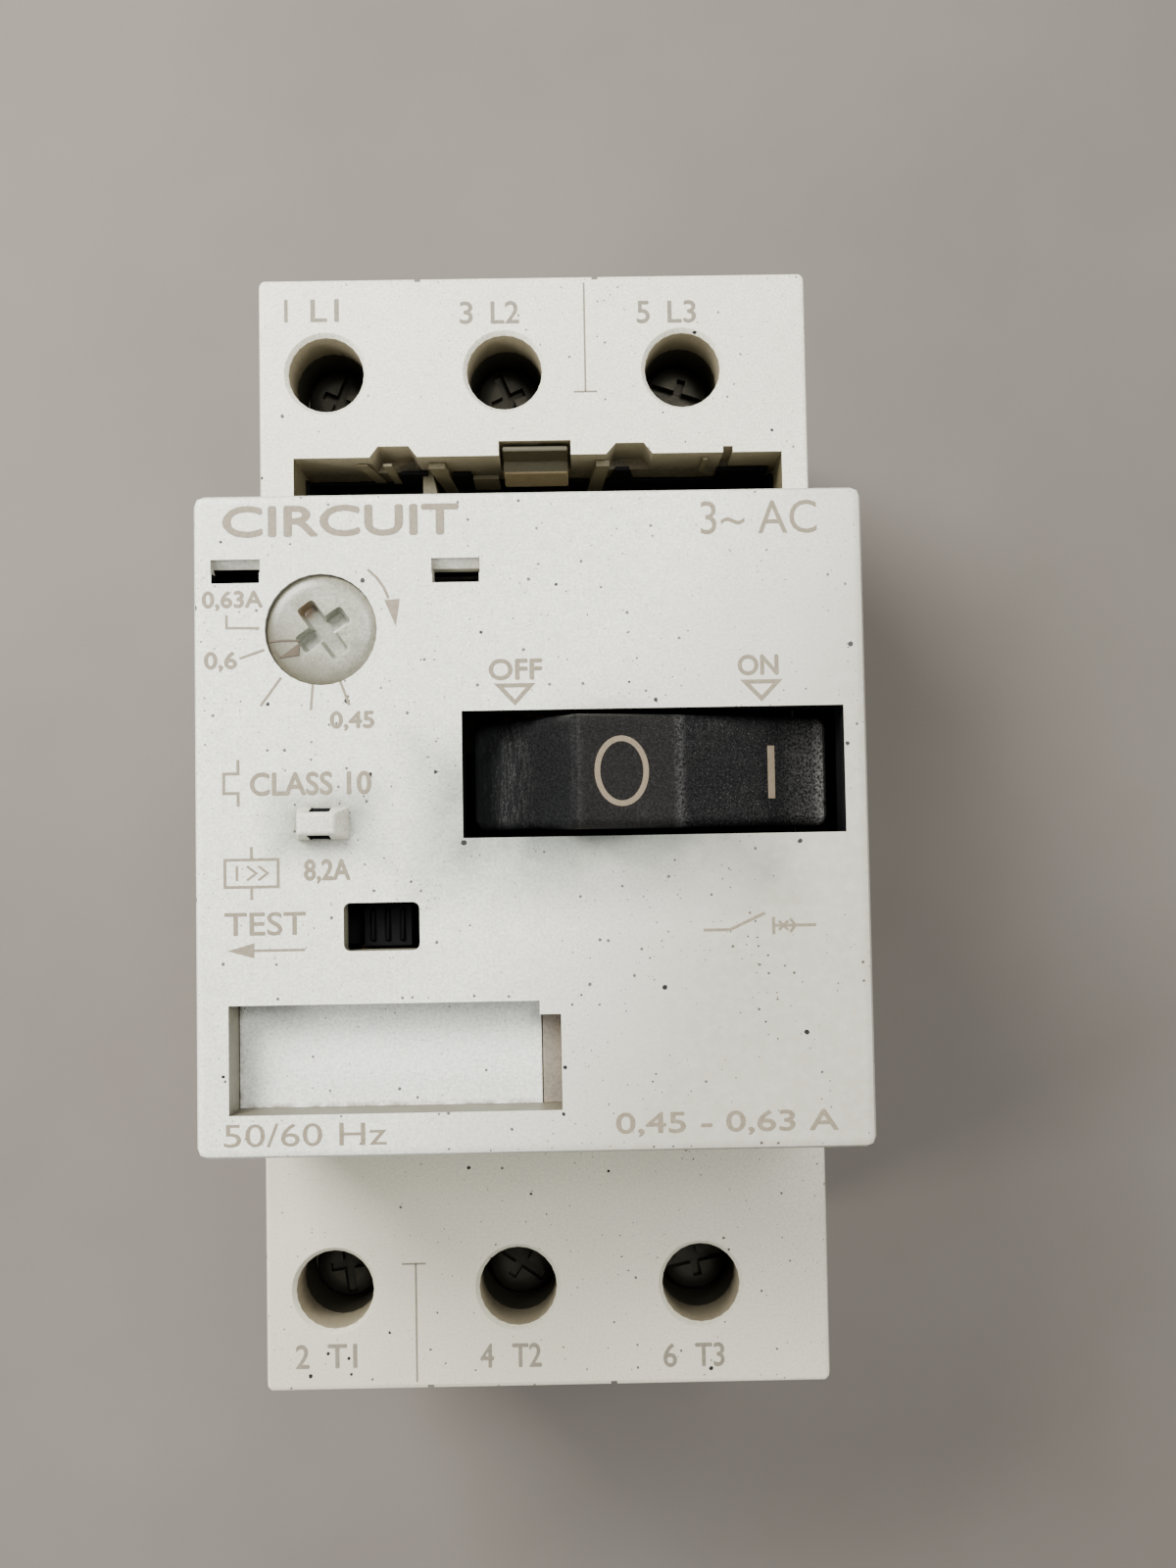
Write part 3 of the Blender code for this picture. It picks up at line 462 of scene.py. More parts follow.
def refined(node, name, look):
    """A copy of the CAD node to work on, with its flat faces whole again."""
    bm = bmesh.new()
    bm.from_mesh(NODES[node].data)
    bmesh.ops.scale(bm, vec=(1 / MM, 1 / MM, 1 / MM), verts=bm.verts)
    bmesh.ops.remove_doubles(bm, verts=bm.verts, dist=0.001)
    bmesh.ops.dissolve_limit(bm, angle_limit=FLAT_ANGLE, verts=bm.verts, edges=bm.edges,
                             use_dissolve_boundaries=False)
    for face in bm.faces:
        face.material_index = 0
        face.smooth = False
    return add_object(name, bm, MATERIALS[look])


def add_box(bm, low, high, bevel=0.0):
    made = bmesh.ops.create_cube(bm, size=1.0)
    low, high = Vector(low), Vector(high)
    place = Matrix.Translation((low + high) / 2) @ Matrix.Diagonal((*(high - low), 1.0))
    bmesh.ops.transform(bm, matrix=place, verts=made["verts"])
    if bevel:
        edges = {edge for vert in made["verts"] for edge in vert.link_edges}
        bmesh.ops.bevel(bm, geom=list(edges), offset=bevel, segments=2, profile=0.5,
                        affect="EDGES", clamp_overlap=True)


def add_prism(bm, outline, low, high, axis="Z"):
    """Closed prism from a 2-D outline: (x, y) for Z, (y, z) for X, (x, z) for Y."""
    rings = []
    for level in (low, high):
        ring = []
        for u, v in outline:
            point = {"Z": (u, v, level), "X": (level, u, v), "Y": (u, level, v)}[axis]
            ring.append(bm.verts.new(point))
        rings.append(ring)
    count = len(outline)
    faces = [bm.faces.new(rings[0]), bm.faces.new(rings[1])]
    for i in range(count):
        j = (i + 1) % count
        faces.append(bm.faces.new((rings[0][i], rings[0][j], rings[1][j], rings[1][i])))
    bmesh.ops.recalc_face_normals(bm, faces=faces)
    return faces


def add_tube(bm, loops):
    """Closed ring with a face between each two neighbours of the given loops."""
    rings = [[bm.verts.new(point) for point in loop] for loop in loops]
    for one, two in zip(rings, rings[1:] + rings[:1]):
        for i in range(len(one)):
            j = (i + 1) % len(one)
            bm.faces.new((one[i], one[j], two[j], two[i]))


def circle(centre, radius, segments):
    return [(centre[0] + radius * math.cos(2 * math.pi * i / segments),
             centre[1] + radius * math.sin(2 * math.pi * i / segments)) for i in range(segments)]


def add_lathe(bm, profile, centre, segments):
    """Closed turned solid round +Z from (radius, z) points that start and end on the axis."""
    rings = []
    for radius, z in profile:
        outline = circle(centre, radius, segments if radius else 1)
        rings.append([bm.verts.new((x, y, z)) for x, y in outline])
    faces = []
    for lower, upper in zip(rings, rings[1:]):
        for i in range(segments):
            j = (i + 1) % segments
            corners = []
            for ring, k in ((lower, i), (lower, j), (upper, j), (upper, i)):
                vert = ring[k % len(ring)]
                if vert not in corners:
                    corners.append(vert)
            faces.append(bm.faces.new(corners))
    bmesh.ops.recalc_face_normals(bm, faces=faces)


def rounded(low, high, radius, steps):
    """Rectangle outline with round corners."""
    left, right, bottom, top = low[0] + radius, high[0] - radius, low[1] + radius, high[1] - radius
    points = []
    for cx, cy, start in ((right, top, 0), (left, top, 90), (left, bottom, 180), (right, bottom, 270)):
        for i in range(steps + 1):
            angle = math.radians(start + 90 * i / steps)
            points.append((cx + radius * math.cos(angle), cy + radius * math.sin(angle)))
    return points


def apply_modifiers(obj):
    """Replaces the object's mesh by its evaluated one."""
    graph = bpy.context.evaluated_depsgraph_get()
    made = bpy.data.meshes.new_from_object(obj.evaluated_get(graph), depsgraph=graph)
    old = obj.data
    obj.modifiers.clear()
    obj.data = made
    bpy.data.meshes.remove(old)


def carve(obj, cutter_bm, material=None, operation="DIFFERENCE"):
    """Cuts a bmesh out of obj. The new walls get their own material if one is given."""
    cutter = add_object("cutter", cutter_bm, material or obj.data.materials[0])
    modifier = obj.modifiers.new("carve", "BOOLEAN")
    modifier.object = cutter
    modifier.operation = operation
    modifier.solver = "EXACT"
    modifier.material_mode = "TRANSFER"
    apply_modifiers(obj)
    bpy.data.objects.remove(cutter, do_unlink=True)


def soften(obj, width, segments=2):
    """Rounds the sharp edges and keeps the flat faces flat in shading."""
    bm = bmesh.new()
    bm.from_mesh(obj.data)
    bmesh.ops.remove_doubles(bm, verts=bm.verts, dist=WELD)
    bmesh.ops.dissolve_degenerate(bm, dist=WELD, edges=bm.edges)
    bm.to_mesh(obj.data)
    bm.free()
    bevel = obj.modifiers.new("soften", "BEVEL")
    bevel.width = width * MM
    bevel.segments = segments
    bevel.limit_method = "ANGLE"
    bevel.angle_limit = SOFT_ANGLE
    bevel.use_clamp_overlap = True
    bevel.miter_outer = "MITER_ARC"
    apply_modifiers(obj)
    finish_shading(obj)


def finish_shading(obj, angle=38.0):
    obj.data.shade_smooth()
    obj.data.set_sharp_from_angle(angle=math.radians(angle))
    weighted = obj.modifiers.new("flat_faces", "WEIGHTED_NORMAL")
    weighted.keep_sharp = True
    apply_modifiers(obj)


def piece(name, bm, look, body, soft=0.0, replaces=()):
    """A finished visible piece from a bmesh."""
    obj = add_object(name, bm, MATERIALS[look])
    if soft:
        soften(obj, soft)
    return settle(obj, body, replaces)


def settle(obj, body, replaces=()):
    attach(obj, body)
    if replaces:
        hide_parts(*replaces)
    return obj


# ---- marks

def place_in(bm, verts, low, high):
    """Stretches verts to fill the box from low to high."""
    lows = Vector([min(vert.co[i] for vert in verts) for i in range(3)])
    highs = Vector([max(vert.co[i] for vert in verts) for i in range(3)])
    for vert in verts:
        for i in range(3):
            share = (vert.co[i] - lows[i]) / max(highs[i] - lows[i], 1e-9)
            vert.co[i] = low[i] + share * (high[i] - low[i])


def add_text(bm, words, low, high, top, weight=0.0):
    """Raised lettering that fills a rectangle, with its top face just above a plane.
    weight thickens the strokes by that many millimetres, from shifted copies on stepped heights."""
    curve = bpy.data.curves.new("words", "FONT")
    curve.body = words
    curve.extrude = 0.1
    curve.resolution_u = 4
    holder = new_object("words", curve)
    graph = bpy.context.evaluated_depsgraph_get()
    mesh = bpy.data.meshes.new_from_object(holder.evaluated_get(graph), depsgraph=graph)
    bpy.data.objects.remove(holder, do_unlink=True)
    bpy.data.curves.remove(curve)
    half = weight / 2
    shifts = ((-half, 0.0), (half, 0.0), (0.0, -half), (0.0, half)) if weight else ((0.0, 0.0),)
    for step, (dx, dy) in enumerate(shifts):
        known = set(bm.verts)
        bm.from_mesh(mesh)
        verts = [vert for vert in bm.verts if vert not in known]
        bmesh.ops.remove_doubles(bm, verts=verts, dist=0.0001)
        verts = [vert for vert in bm.verts if vert not in known]
        place_in(bm, verts, (low[0] + half + dx, low[1] + half + dy, top - PRINT_DEPTH),
                 (high[0] - half + dx, high[1] - half + dy, top + PRINT_LIFT + 0.003 * step))
    bpy.data.meshes.remove(mesh)


def offset_line(points, side, closed):
    """The polyline moved sideways, with mitred corners."""
    count = len(points)
    moved = []
    for i in range(count):
        here = Vector(points[i])
        before = Vector(points[(i - 1) % count]) if closed or i > 0 else None
        after = Vector(points[(i + 1) % count]) if closed or i < count - 1 else None
        one = (here - before).normalized() if before is not None else (after - here).normalized()
        two = (after - here).normalized() if after is not None else one
        normal = Vector((-one.y - two.y, one.x + two.x)).normalized()
        stretch = max(0.3, normal.dot(Vector((-one.y, one.x))))
        moved.append(here + normal * side / stretch)
    return moved


def add_stroke(bm, points, width, top, closed=False):
    """Printed line as a thin closed ribbon."""
    left = offset_line(points, width / 2, closed)
    right = offset_line(points, -width / 2, closed)
    high, low = top + PRINT_LIFT, top - PRINT_DEPTH
    if closed:
        add_tube(bm, [[(p.x, p.y, z) for p in line]
                      for line, z in ((left, high), (right, high), (right, low), (left, low))])
    else:
        add_prism(bm, [tuple(p) for p in left + right[::-1]], low, high)


def add_fill(bm, outline, top):
    add_prism(bm, outline, top - PRINT_DEPTH, top + PRINT_LIFT)


# words, low and high corner, thickening of the strokes
COVER_WORDS = (
    ("CIRCUIT", (-20.45, 18.95), (-4.6, 21.1), 0.16),
    ("3~ AC", (11.6, 18.7), (19.4, 20.95), 0.0),
    ("50/60 Hz", (-20.6, -21.45), (-9.9, -19.95), 0.0),
    ("0,45 - 0,63 A", (5.2, -21.25), (19.9, -19.65), 0.06),
    ("0,63A", (-21.84, 14.06), (-17.75, 15.4), 0.10),
    ("0,6", (-21.72, 9.96), (-19.5, 11.33), 0.10),
    ("0,45", (-13.37, 5.88), (-10.4, 7.23), 0.10),
    ("CLASS 10", (-18.73, 1.64), (-10.65, 3.22), 0.10),
    ("8,2A", (-15.19, -4.24), (-12.1, -2.6), 0.10),
    ("TEST", (-20.46, -7.6), (-15.1, -6.05), 0.05),
    ("OFF", (-2.76, 9.1), (0.83, 10.55), 0.10),
    ("ON", (13.88, 9.16), (16.62, 10.56), 0.10),
)

# width, lift over the lines below, points
COVER_LINES = (
    # dial scale and the bent arrow beside it
    (0.17, 0.0, (-20.19, 13.76), (-20.19, 12.9), (-18.01, 12.86)),
    (0.17, 0.0, (-19.34, 10.84), (-17.69, 11.4)),
    (0.17, 0.0, (-17.97, 7.65), (-16.58, 9.53)),
    (0.17, 0.0, (-14.62, 7.33), (-14.48, 9.03)),
    (0.17, 0.0, (-12.06, 7.61), (-12.64, 9.2)),
    (0.17, 0.0, (-10.74, 16.69), (-10.16, 16.15), (-9.7, 15.5), (-9.37, 14.74)),
    # overload release
    (0.2, 0.0, (-19.5, 4.07), (-19.5, 3.15), (-20.45, 3.15), (-20.45, 1.85), (-19.5, 1.85), (-19.5, 0.96)),
    # magnetic release
    (0.19, 0.0, (-18.65, -2.47), (-18.65, -1.72)),
    (0.19, 0.0, (-18.65, -4.48), (-18.65, -5.23)),
    (0.17, 0.0, (-19.62, -3.95), (-19.62, -2.98)),
    (0.15, 0.0, (-18.95, -3.93), (-18.33, -3.47), (-18.95, -3.0)),
    (0.15, 0.0, (-18.2, -3.93), (-17.58, -3.47), (-18.2, -3.0)),
    # shaft of the TEST arrow
    (0.17, 0.0, (-18.5, -8.58), (-15.17, -8.58)),
    # breaker symbol: open switch, cross and arrowhead
    (0.19, 0.0, (11.26, -7.75), (13.0, -7.75), (15.35, -6.68)),
    (0.19, 0.0, (15.9, -8.1), (15.9, -6.95)),
    (0.19, 0.0, (16.0, -7.52), (18.72, -7.52)),
    (0.16, 0.003, (16.25, -7.22), (16.85, -7.82)),
    (0.16, 0.009, (16.25, -7.82), (16.85, -7.22)),
    (0.16, 0.012, (17.0, -7.95), (17.35, -7.52), (17.0, -7.09)),
)

# width and corners: box of the magnetic release, triangles under OFF and ON
COVER_FRAMES = (
    (0.19, (-20.41, -4.38), (-16.89, -4.38), (-16.89, -2.57), (-20.41, -2.57)),
    (0.28, (-2.1, 8.75), (-1.025, 7.6), (0.05, 8.75)),
    (0.28, (14.35, 8.74), (15.45, 7.6), (16.55, 8.74)),
)

# heads of the bent arrow and of the TEST arrow
COVER_ARROWHEADS = (
    ((-9.66, 14.62), (-8.62, 14.68), (-8.9, 12.85)),
    ((-20.27, -8.58), (-18.5, -9.08), (-18.5, -8.08)),
)


def make_cover_print():
    bm = bmesh.new()
    for words, low, high, weight in COVER_WORDS:
        add_text(bm, words, low, high, FRONT_Z, weight)
    for width, lift, *points in COVER_LINES:
        add_stroke(bm, points, width, FRONT_Z + lift)
    for width, *points in COVER_FRAMES:
        add_stroke(bm, points, width, FRONT_Z, closed=True)
    for head in COVER_ARROWHEADS:
        add_fill(bm, head, FRONT_Z)
    piece("cover_print", bm, "taupe", "housing")


def make_shoulder_print():
    """Terminal numbers and pole lines on the two shoulders."""
    bm = bmesh.new()
    for number, name, x, y in ((1, "L1", -20.2, 42.35), (3, "L2", -5.4, 42.0), (5, "L3", 9.15, 41.85),
                               (2, "T1", -19.6, -42.25), (4, "T2", -4.9, -42.45), (6, "T3", 9.7, -42.7)):
        wide = 0.3 if number == 1 else 1.1
        for words, left, right in ((str(number), x - wide / 2, x + wide / 2), (name, x + 2.0, x + 4.35)):
            add_text(bm, words, (left, y - 0.95), (right, y + 0.95), SHOULDER_Z, 0.08)
    for line in (((4.3, 44.4), (4.3, 35.3)), ((3.35, 35.3), (5.25, 35.3)),
                 ((-10.5, -44.4), (-10.5, -35.1)), ((-11.6, -35.1), (-9.7, -35.1))):
        add_stroke(bm, line, 0.15, SHOULDER_Z)
    piece("shoulder_print", bm, "grey", "housing")


# ---- housings

def paint(obj, look, inside):
    """Gives the faces whose centre and normal satisfy inside() another material."""
    index = len(obj.data.materials)
    obj.data.materials.append(MATERIALS[look])
    for face in obj.data.polygons:
        if inside(face.center / MM, face.normal):
            face.material_index = index


def within(point, low, high):
    return all(a < b < c for a, b, c in zip(low, point, high))


def round_corners(obj, low, high, radius, bottom, top):
    """Rounds the four upright corners of a housing."""
    outer = bmesh.new()
    add_prism(outer, rounded(low.xy, high.xy, radius, 6), bottom, top)
    carve(obj, outer, operation="INTERSECT")


def cut_span(face, depth):
    """Reach of a cutter at x or y = face, from the given depth under the face to 1 mm outside it."""
    return sorted((face - math.copysign(depth, face), face + math.copysign(1.0, face)))


def add_pockets(bm, low, high, flanks, ends):
    """Box cutters for both flanks and both end faces of a housing. Each row of flanks and ends holds
    the starts of its pockets along the face, their length, their low and high z, and their depth."""
    for face, rows, axis in ((low.x, flanks, 0), (high.x, flanks, 0), (low.y, ends, 1), (high.y, ends, 1)):
        for starts, length, low_z, high_z, depth in rows:
            for start in starts:
                spans = [(start, start + length), (low_z, high_z)]
                spans.insert(axis, cut_span(face, depth))
                add_box(bm, *zip(*spans))


def add_ejector_marks(bm, low, high, ys, z):
    """Shallow round cutters in both flanks."""
    for face in (low.x, high.x):
        for y in ys:
            add_prism(bm, circle((y, z), 1.5, 24), *cut_span(face, 0.15), "X")


def add_window_corners(bm, low, high, size):
    """Fills that round the four corners of the TEST window."""
    under = 0.1   # how far a fill reaches into the wall
    for x, y, sx, sy in ((low[0], low[1], 1, 1), (high[0], low[1], -1, 1), (high[0], high[1], -1, -1),
                         (low[0], high[1], 1, -1)):
        bend = [(size * (1 - math.sin(a)), size * (1 - math.cos(a)))
                for a in (math.radians(15 * i) for i in range(7))]
        outline = [(-under, -under), (size, -under)] + bend + [(-under, size)]
        add_prism(bm, [(x + sx * u, y + sy * v) for u, v in outline], 71.9, FRONT_Z)


def make_cover():
    """Front cover with softened rims, stepped small slots and side mouldings."""
    cover = refined("front_cover", "cover_shell", "white")
    # the CAD eyelet makes room for the finer one
    off = bmesh.new()
    add_box(off, (-16.2, -1.7, FRONT_Z), (-11.6, 1.9, FRONT_Z + 3.0))
    carve(cover, off)
    round_corners(cover, COVER_LOW, COVER_HIGH, 0.8, 40.0, 80.0)
    cuts = bmesh.new()
    for x0, x1, y0, y1 in ((-21.25, -17.95, 16.6, 17.5), (-6.5, -3.25, 16.4, 17.4)):
        ramp = [(y0, 71.9), (y1, FRONT_Z - 0.25), (y1, FRONT_Z + 1.0), (y0, FRONT_Z + 1.0)]
        add_prism(cuts, ramp, x0, x1, "X")
    # room for the right end of the rocker
    add_box(cuts, (20.0, -1.38, 57.0), (21.35, 7.1, 69.0))
    # flanks: parting line, grip recess and snap windows; ends: snap windows and grip recess
    add_pockets(cuts, COVER_LOW, COVER_HIGH,
                flanks=(((COVER_LOW.y - 1.0,), COVER_HIGH.y - COVER_LOW.y + 2.0, 55.2, 55.42, 0.22),
                        ((-8.0,), 16.0, 57.4, 60.2, 0.5),
                        ((-16.5, 13.0), 3.4, 51.0, 53.6, 0.5)),
                ends=(((-17.0, 12.6), 4.4, 51.0, 53.4, 0.5),
                      ((-5.0,), 10.0, 57.0, 59.4, 0.5)))
    carve(cover, cuts)
    corners = bmesh.new()
    add_window_corners(corners, (-12.59, -8.73), (-7.56, -5.54), 0.45)
    carve(cover, corners, operation="UNION")
    soften(cover, 0.16, 3)
    paint_cover(cover)
    settle(cover, "housing", ("front_cover",))


def paint_cover(cover):
    """Black inside and round the rocker: painted shade for the white inside seen through the windows, and
    a dark inner part round the rocker. Walls of the label recess and the TEST window are darker with dirt
    and painted shade.
    """
    # painted shade: the cover's inside is painted black
    paint(cover, "black", lambda c, n: abs(c.x) < 21.6 and -21.4 < c.y < 21.0 and c.z < 72.3
          and not (c.x < 3.5 and c.y < -10.9) and (c.xy - DIAL.xy).length > 5.3
          and not (c.x < -3.0 and c.z > 71.1))
    paint(cover, "black", lambda c, n: within(c, (-4.7, -1.5, 0.0), (21.0, 7.2, 72.95)))
    # walls of the label recess and the TEST window painted darker: dirt and painted shade
    recess = (-20.6, -19.8, 69.5)
    paint(cover, "walls", lambda c, n: within(c, recess, (2.4, -11.8, 72.86)) and abs(n.z) < 0.5)
    paint(cover, "sill", lambda c, n: within(c, recess, (2.4, -19.0, 72.86)) and n.y > 0.7)
    paint(cover, "walls",
          lambda c, n: within(c, (-12.9, -9.1, 70.9), (-7.2, -5.2, 72.9)) and abs(n.z) < 0.5)


def make_eyelet():
    """Sealing eyelet on the front cover, with its tunnel along X."""
    bm = bmesh.new()
    for x0, x1, y0, y1, z in ((-15.6, -12.1, -1.40, 0.90, 72.6), (-15.6, -12.15, -1.34, 0.84, 73.0),
                              (-15.4, -12.85, -1.02, 0.46, 74.42), (-15.2, -13.0, -0.88, 0.32, 74.58)):
        for x, y in ((x0, y0), (x1, y0), (x1, y1), (x0, y1)):
            bm.verts.new((x, y, z))
    bmesh.ops.convex_hull(bm, input=bm.verts)
    bmesh.ops.dissolve_limit(bm, angle_limit=FLAT_ANGLE, verts=bm.verts, edges=bm.edges)
    eyelet = add_object("sealing_eyelet", bm, MATERIALS["eyelet"])
    tunnel = bmesh.new()
    add_prism(tunnel, [(-2.0, 73.02), (2.0, 73.02), (2.0, 74.2), (-2.0, 74.2)], -14.66, -13.38, "X")
    # the tunnel walls are painted black: painted shade inside the tunnel
    carve(eyelet, tunnel, MATERIALS["black"])
    soften(eyelet, 0.13, 3)
    settle(eyelet, "housing")


def make_label():
    """Label card that fills the recess, and the clear strip beside it."""
    bm = bmesh.new()
    add_box(bm, (-20.22, -19.47, 69.32), (0.33, -12.2, 69.84), 0.05)
    piece("label_card", bm, "card", "housing", replaces=("label_plate",))
    bm = bmesh.new()
    add_prism(bm, [(0.4, -19.4), (1.66, -19.4), (1.66, -13.4), (1.0, -12.9), (0.4, -12.9)], 69.32, 69.95)
    piece("label_strip", bm, "strip", "housing", 0.08)


def make_shell():
    """Middle housing with softened rims, moulded flanks and worn hole mouths; its slot and screw bores are
    painted dark with dirt and a painted shade that deepens with depth.
    """
    shell = refined("upper_housing", "middle_shell", "cream")
    round_corners(shell, HOUSING_LOW, HOUSING_HIGH, 0.9, 20.0, 60.0)
    pockets = bmesh.new()
    vents = [-7.2 + 2.2 * i for i in range(7)]
    # flanks: accessory hooks, snap windows, vents, seam and grip lines; ends: pole grooves and feet
    add_pockets(pockets, HOUSING_LOW, HOUSING_HIGH,
                flanks=(((-31.0, 26.5), 4.5, 33.0, 37.2, 0.55),
                        ((-30.0, 27.5), 2.5, 42.0, 44.0, 0.55),
                        (vents, 1.0, 31.0, 43.5, 0.55),
                        ((-42.5,), 85.0, 28.35, 28.75, 0.25),
                        ((-19.5, 14.0), 7.0, 36.0, 36.5, 0.3)),
                ends=((GROOVES_X, 0.5, 26.0, 51.5, 0.35),
                      ((-21.4, 19.4), 1.9, 27.5, 30.0, 0.4)))
    add_ejector_marks(pockets, HOUSING_LOW, HOUSING_HIGH, (-38.5, 38.5), 46.0)
    mouth = [(0.0, 50.55), (3.04, 50.55), (3.42, 51.0), (3.5, 51.4), (0.0, 51.4)]
    for side, number, centre in terminals():
        add_lathe(pockets, mouth, centre, 48)
    carve(shell, pockets)
    soften(shell, 0.16, 3)
    # slot and screw bores painted dark olive and brown: dirt, and painted shade that deepens with depth
    paint(shell, "olive", lambda c, n: abs(c.x) < 20.4 and 22.3 < c.y < 31.5 and c.z < 50.8)
    paint(shell, "stained_and_shaded",
          lambda c, n: abs(c.x) < 21.0 and 30.0 < abs(c.y) < 43.2 and c.z < 50.75)
    settle(shell, "housing", ("upper_housing",))


def make_driver_guides():
    """Sleeves deep in the screwdriver holes, coloured near black as painted shade."""
    low, high, inner, outer = 41.2, 46.4, 3.12, 3.45
    for side, number, centre in terminals():
        bm = bmesh.new()
        add_tube(bm, [[(x, y, z) for x, y in circle(centre, radius, 32)]
                      for radius, z in ((inner, high), (inner, low), (outer, low), (outer, high))])
        guide = piece(f"driver_guide_{side}_{number}", bm, "guide", "housing")
        finish_shading(guide)


def make_base():
    """Rear housing with rounded corners and moulded flanks."""
    base = refined("base_housing", "rear_shell", "base")
    round_corners(base, BASE_LOW, BASE_HIGH, 0.9, -5.0, 30.0)
    pockets = bmesh.new()
    vents = [24.0 + 2.3 * i for i in range(6)]
    # flanks: seam, snap windows, vents and a sunk field; ends: pole grooves, windows and feet
    add_pockets(pockets, BASE_LOW, BASE_HIGH,
                flanks=(((-42.5,), 85.0, 23.4, 23.75, 0.25),
                        ((-37.5, -24.5, 21.0, 34.0), 3.5, 19.2, 22.0, 0.55),
                        (vents + [-y - 1.0 for y in vents], 1.0, 10.0, 16.5, 0.5),
                        ((-12.0,), 24.0, 12.4, 17.6, 0.3)),
                ends=((GROOVES_X, 0.5, 16.0, 27.0, 0.35),
                      ((-19.0, -4.2, 10.4), 6.0, 18.6, 21.6, 0.5),
                      ((-17.5, 15.5), 2.0, 5.0, 11.0, 0.4)))
    add_ejector_marks(pockets, BASE_LOW, BASE_HIGH, (-41.0, 41.0), 5.0)
    carve(base, pockets)
    soften(base, 0.18, 3)
    settle(base, "housing", ("base_housing",))


def make_rail_latch():
    """Rail clip with finger grips and the hole for a screwdriver."""
    latch = refined("rail_clip", "rail_latch", "clip")
    grips = bmesh.new()
    for z in (1.3, 2.3, 3.3):
        add_box(grips, (-5.2, -45.0, z), (5.2, -44.3, z + 0.4))
    add_box(grips, (-3.0, -43.7, -1.0), (3.0, -42.4, 6.0))
    carve(latch, grips)
    soften(latch, 0.15)
    settle(latch, "rail_clip", ("rail_clip",))


def make_test_button():
    """TEST slider with three ridges for the tip of a screwdriver."""
    button = refined("test_slider", "test_button", "black")
    ridges = bmesh.new()
    for x in (-11.2, -10.2, -9.2):
        ridge = [(x, 70.3), (x + 0.5, 70.3), (x + 0.35, 70.75), (x + 0.15, 70.75)]
        add_prism(ridges, ridge, -8.2, -6.1, "Y")
    carve(button, ridges, operation="UNION")
    soften(button, 0.1)
    settle(button, "test_slider", ("test_slider",))


def make_window_frame():
    liner = refined("window_liner", "window_frame", "black")
    soften(liner, 0.12)
    settle(liner, "housing", ("window_liner",))


def make_coils():
    """Return springs, copied from the CAD nodes, each with a mesh of its own."""
    for node, name, joint, axis, travel in (
            ("rail_clip_spring", "clip_coil", "rail_clip_slide", 1, 2.6),
            ("test_spring", "test_coil", "test_slide", 0, 1.6),
            ("opening_spring", "opening_coil", "carrier_slide", 2, 3.387)):
        coil = refined(node, name, "bright")
        finish_shading(coil)
        settle(coil, "housing", (node,))
        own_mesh(coil)


def make_slot_tongue():
    """Latch tongue in the auxiliary-switch slot."""
    bm = bmesh.new()
    add_prism(bm, [(31.0, 50.5), (30.55, 50.5), (30.3, 48.3), (29.4, 47.7), (29.0, 44.7), (29.9, 43.9),
                   (29.9, 35.5), (31.0, 35.5)], -2.65, 2.75, "X")
    latch = add_object("slot_tongue", bm, MATERIALS["tongue"])
    soften(latch, 0.15)
    paint(latch, "latch_top", lambda c, n: c.z > 47.95)
    paint(latch, "black", lambda c, n: c.z < 44.0)
    settle(latch, "housing", ("accessory_latch",))


def make_slot_ribs():
    """Ribs on the far wall of the slot."""
    bm = bmesh.new()
    # x at the top left, top right, low right, low left, then the two heights and the front face
    for top_left, top_right, low_right, low_left, high, low, front in (
            (-14.8, -13.9, -13.0, -13.9, 49.2, 43.4, 29.86),
            (-12.6, -11.9, -11.6, -12.3, 49.2, 43.0, 29.8),
            (-8.8, -7.5, -6.9, -7.9, 49.2, 39.0, 29.55),
            (-5.4, -3.2, -3.2, -5.4, 44.9, 41.0, 29.7),
            (5.1, 6.2, 5.6, 4.3, 49.2, 39.0, 29.55),
            (13.9, 14.3, 14.3, 13.9, 49.8, 46.0, 29.8)):
        outline = [(top_left, high), (top_right, high), (low_right, low), (low_left, low)]
        add_prism(bm, outline, front, 30.03, "Y")
    piece("slot_ribs", bm, "rib", "housing")


def make_slot_floor():
    """Black sheets on the floor and low walls of the slot as painted shade, with dark patches of painted
    shade that reach up the far wall.
    """
    bm = bmesh.new()
    for low, high, bevel in (
            ((SLOT_LOW.x + 0.1, SLOT_LOW.y + 0.1, 35.05), (-9.7, 29.9, 35.5), 0.1),
            ((-6.9, SLOT_LOW.y + 0.1, 35.05), (20.2, 29.9, 35.5), 0.1),
            ((-19.6, 29.75, 35.6), (-9.8, 30.02, 43.2), 0.05),
            ((-8.6, 29.75, 35.6), (20.2, 30.02, 43.2), 0.05),
            ((-19.65, 22.5, 35.6), (-19.4, 29.7, 45.4), 0.05),
            ((20.0, 22.5, 35.6), (20.25, 29.7, 45.4), 0.05)):
        add_box(bm, low, high, bevel)
    for left, right, narrow, high in ((-11.6, -9.0, 0.2, 46.8), (-7.1, -5.4, 0.1, 46.2),
                                      (6.3, 8.4, 0.5, 47.2), (15.4, 19.7, 0.0, 46.6)):
        outline = [(left, 43.1), (right, 43.1), (right - narrow, high), (left + narrow, high)]
        add_prism(bm, outline, 29.7, 30.02, "Y")
    piece("slot_floor", bm, "black", "housing")


# ---- controls

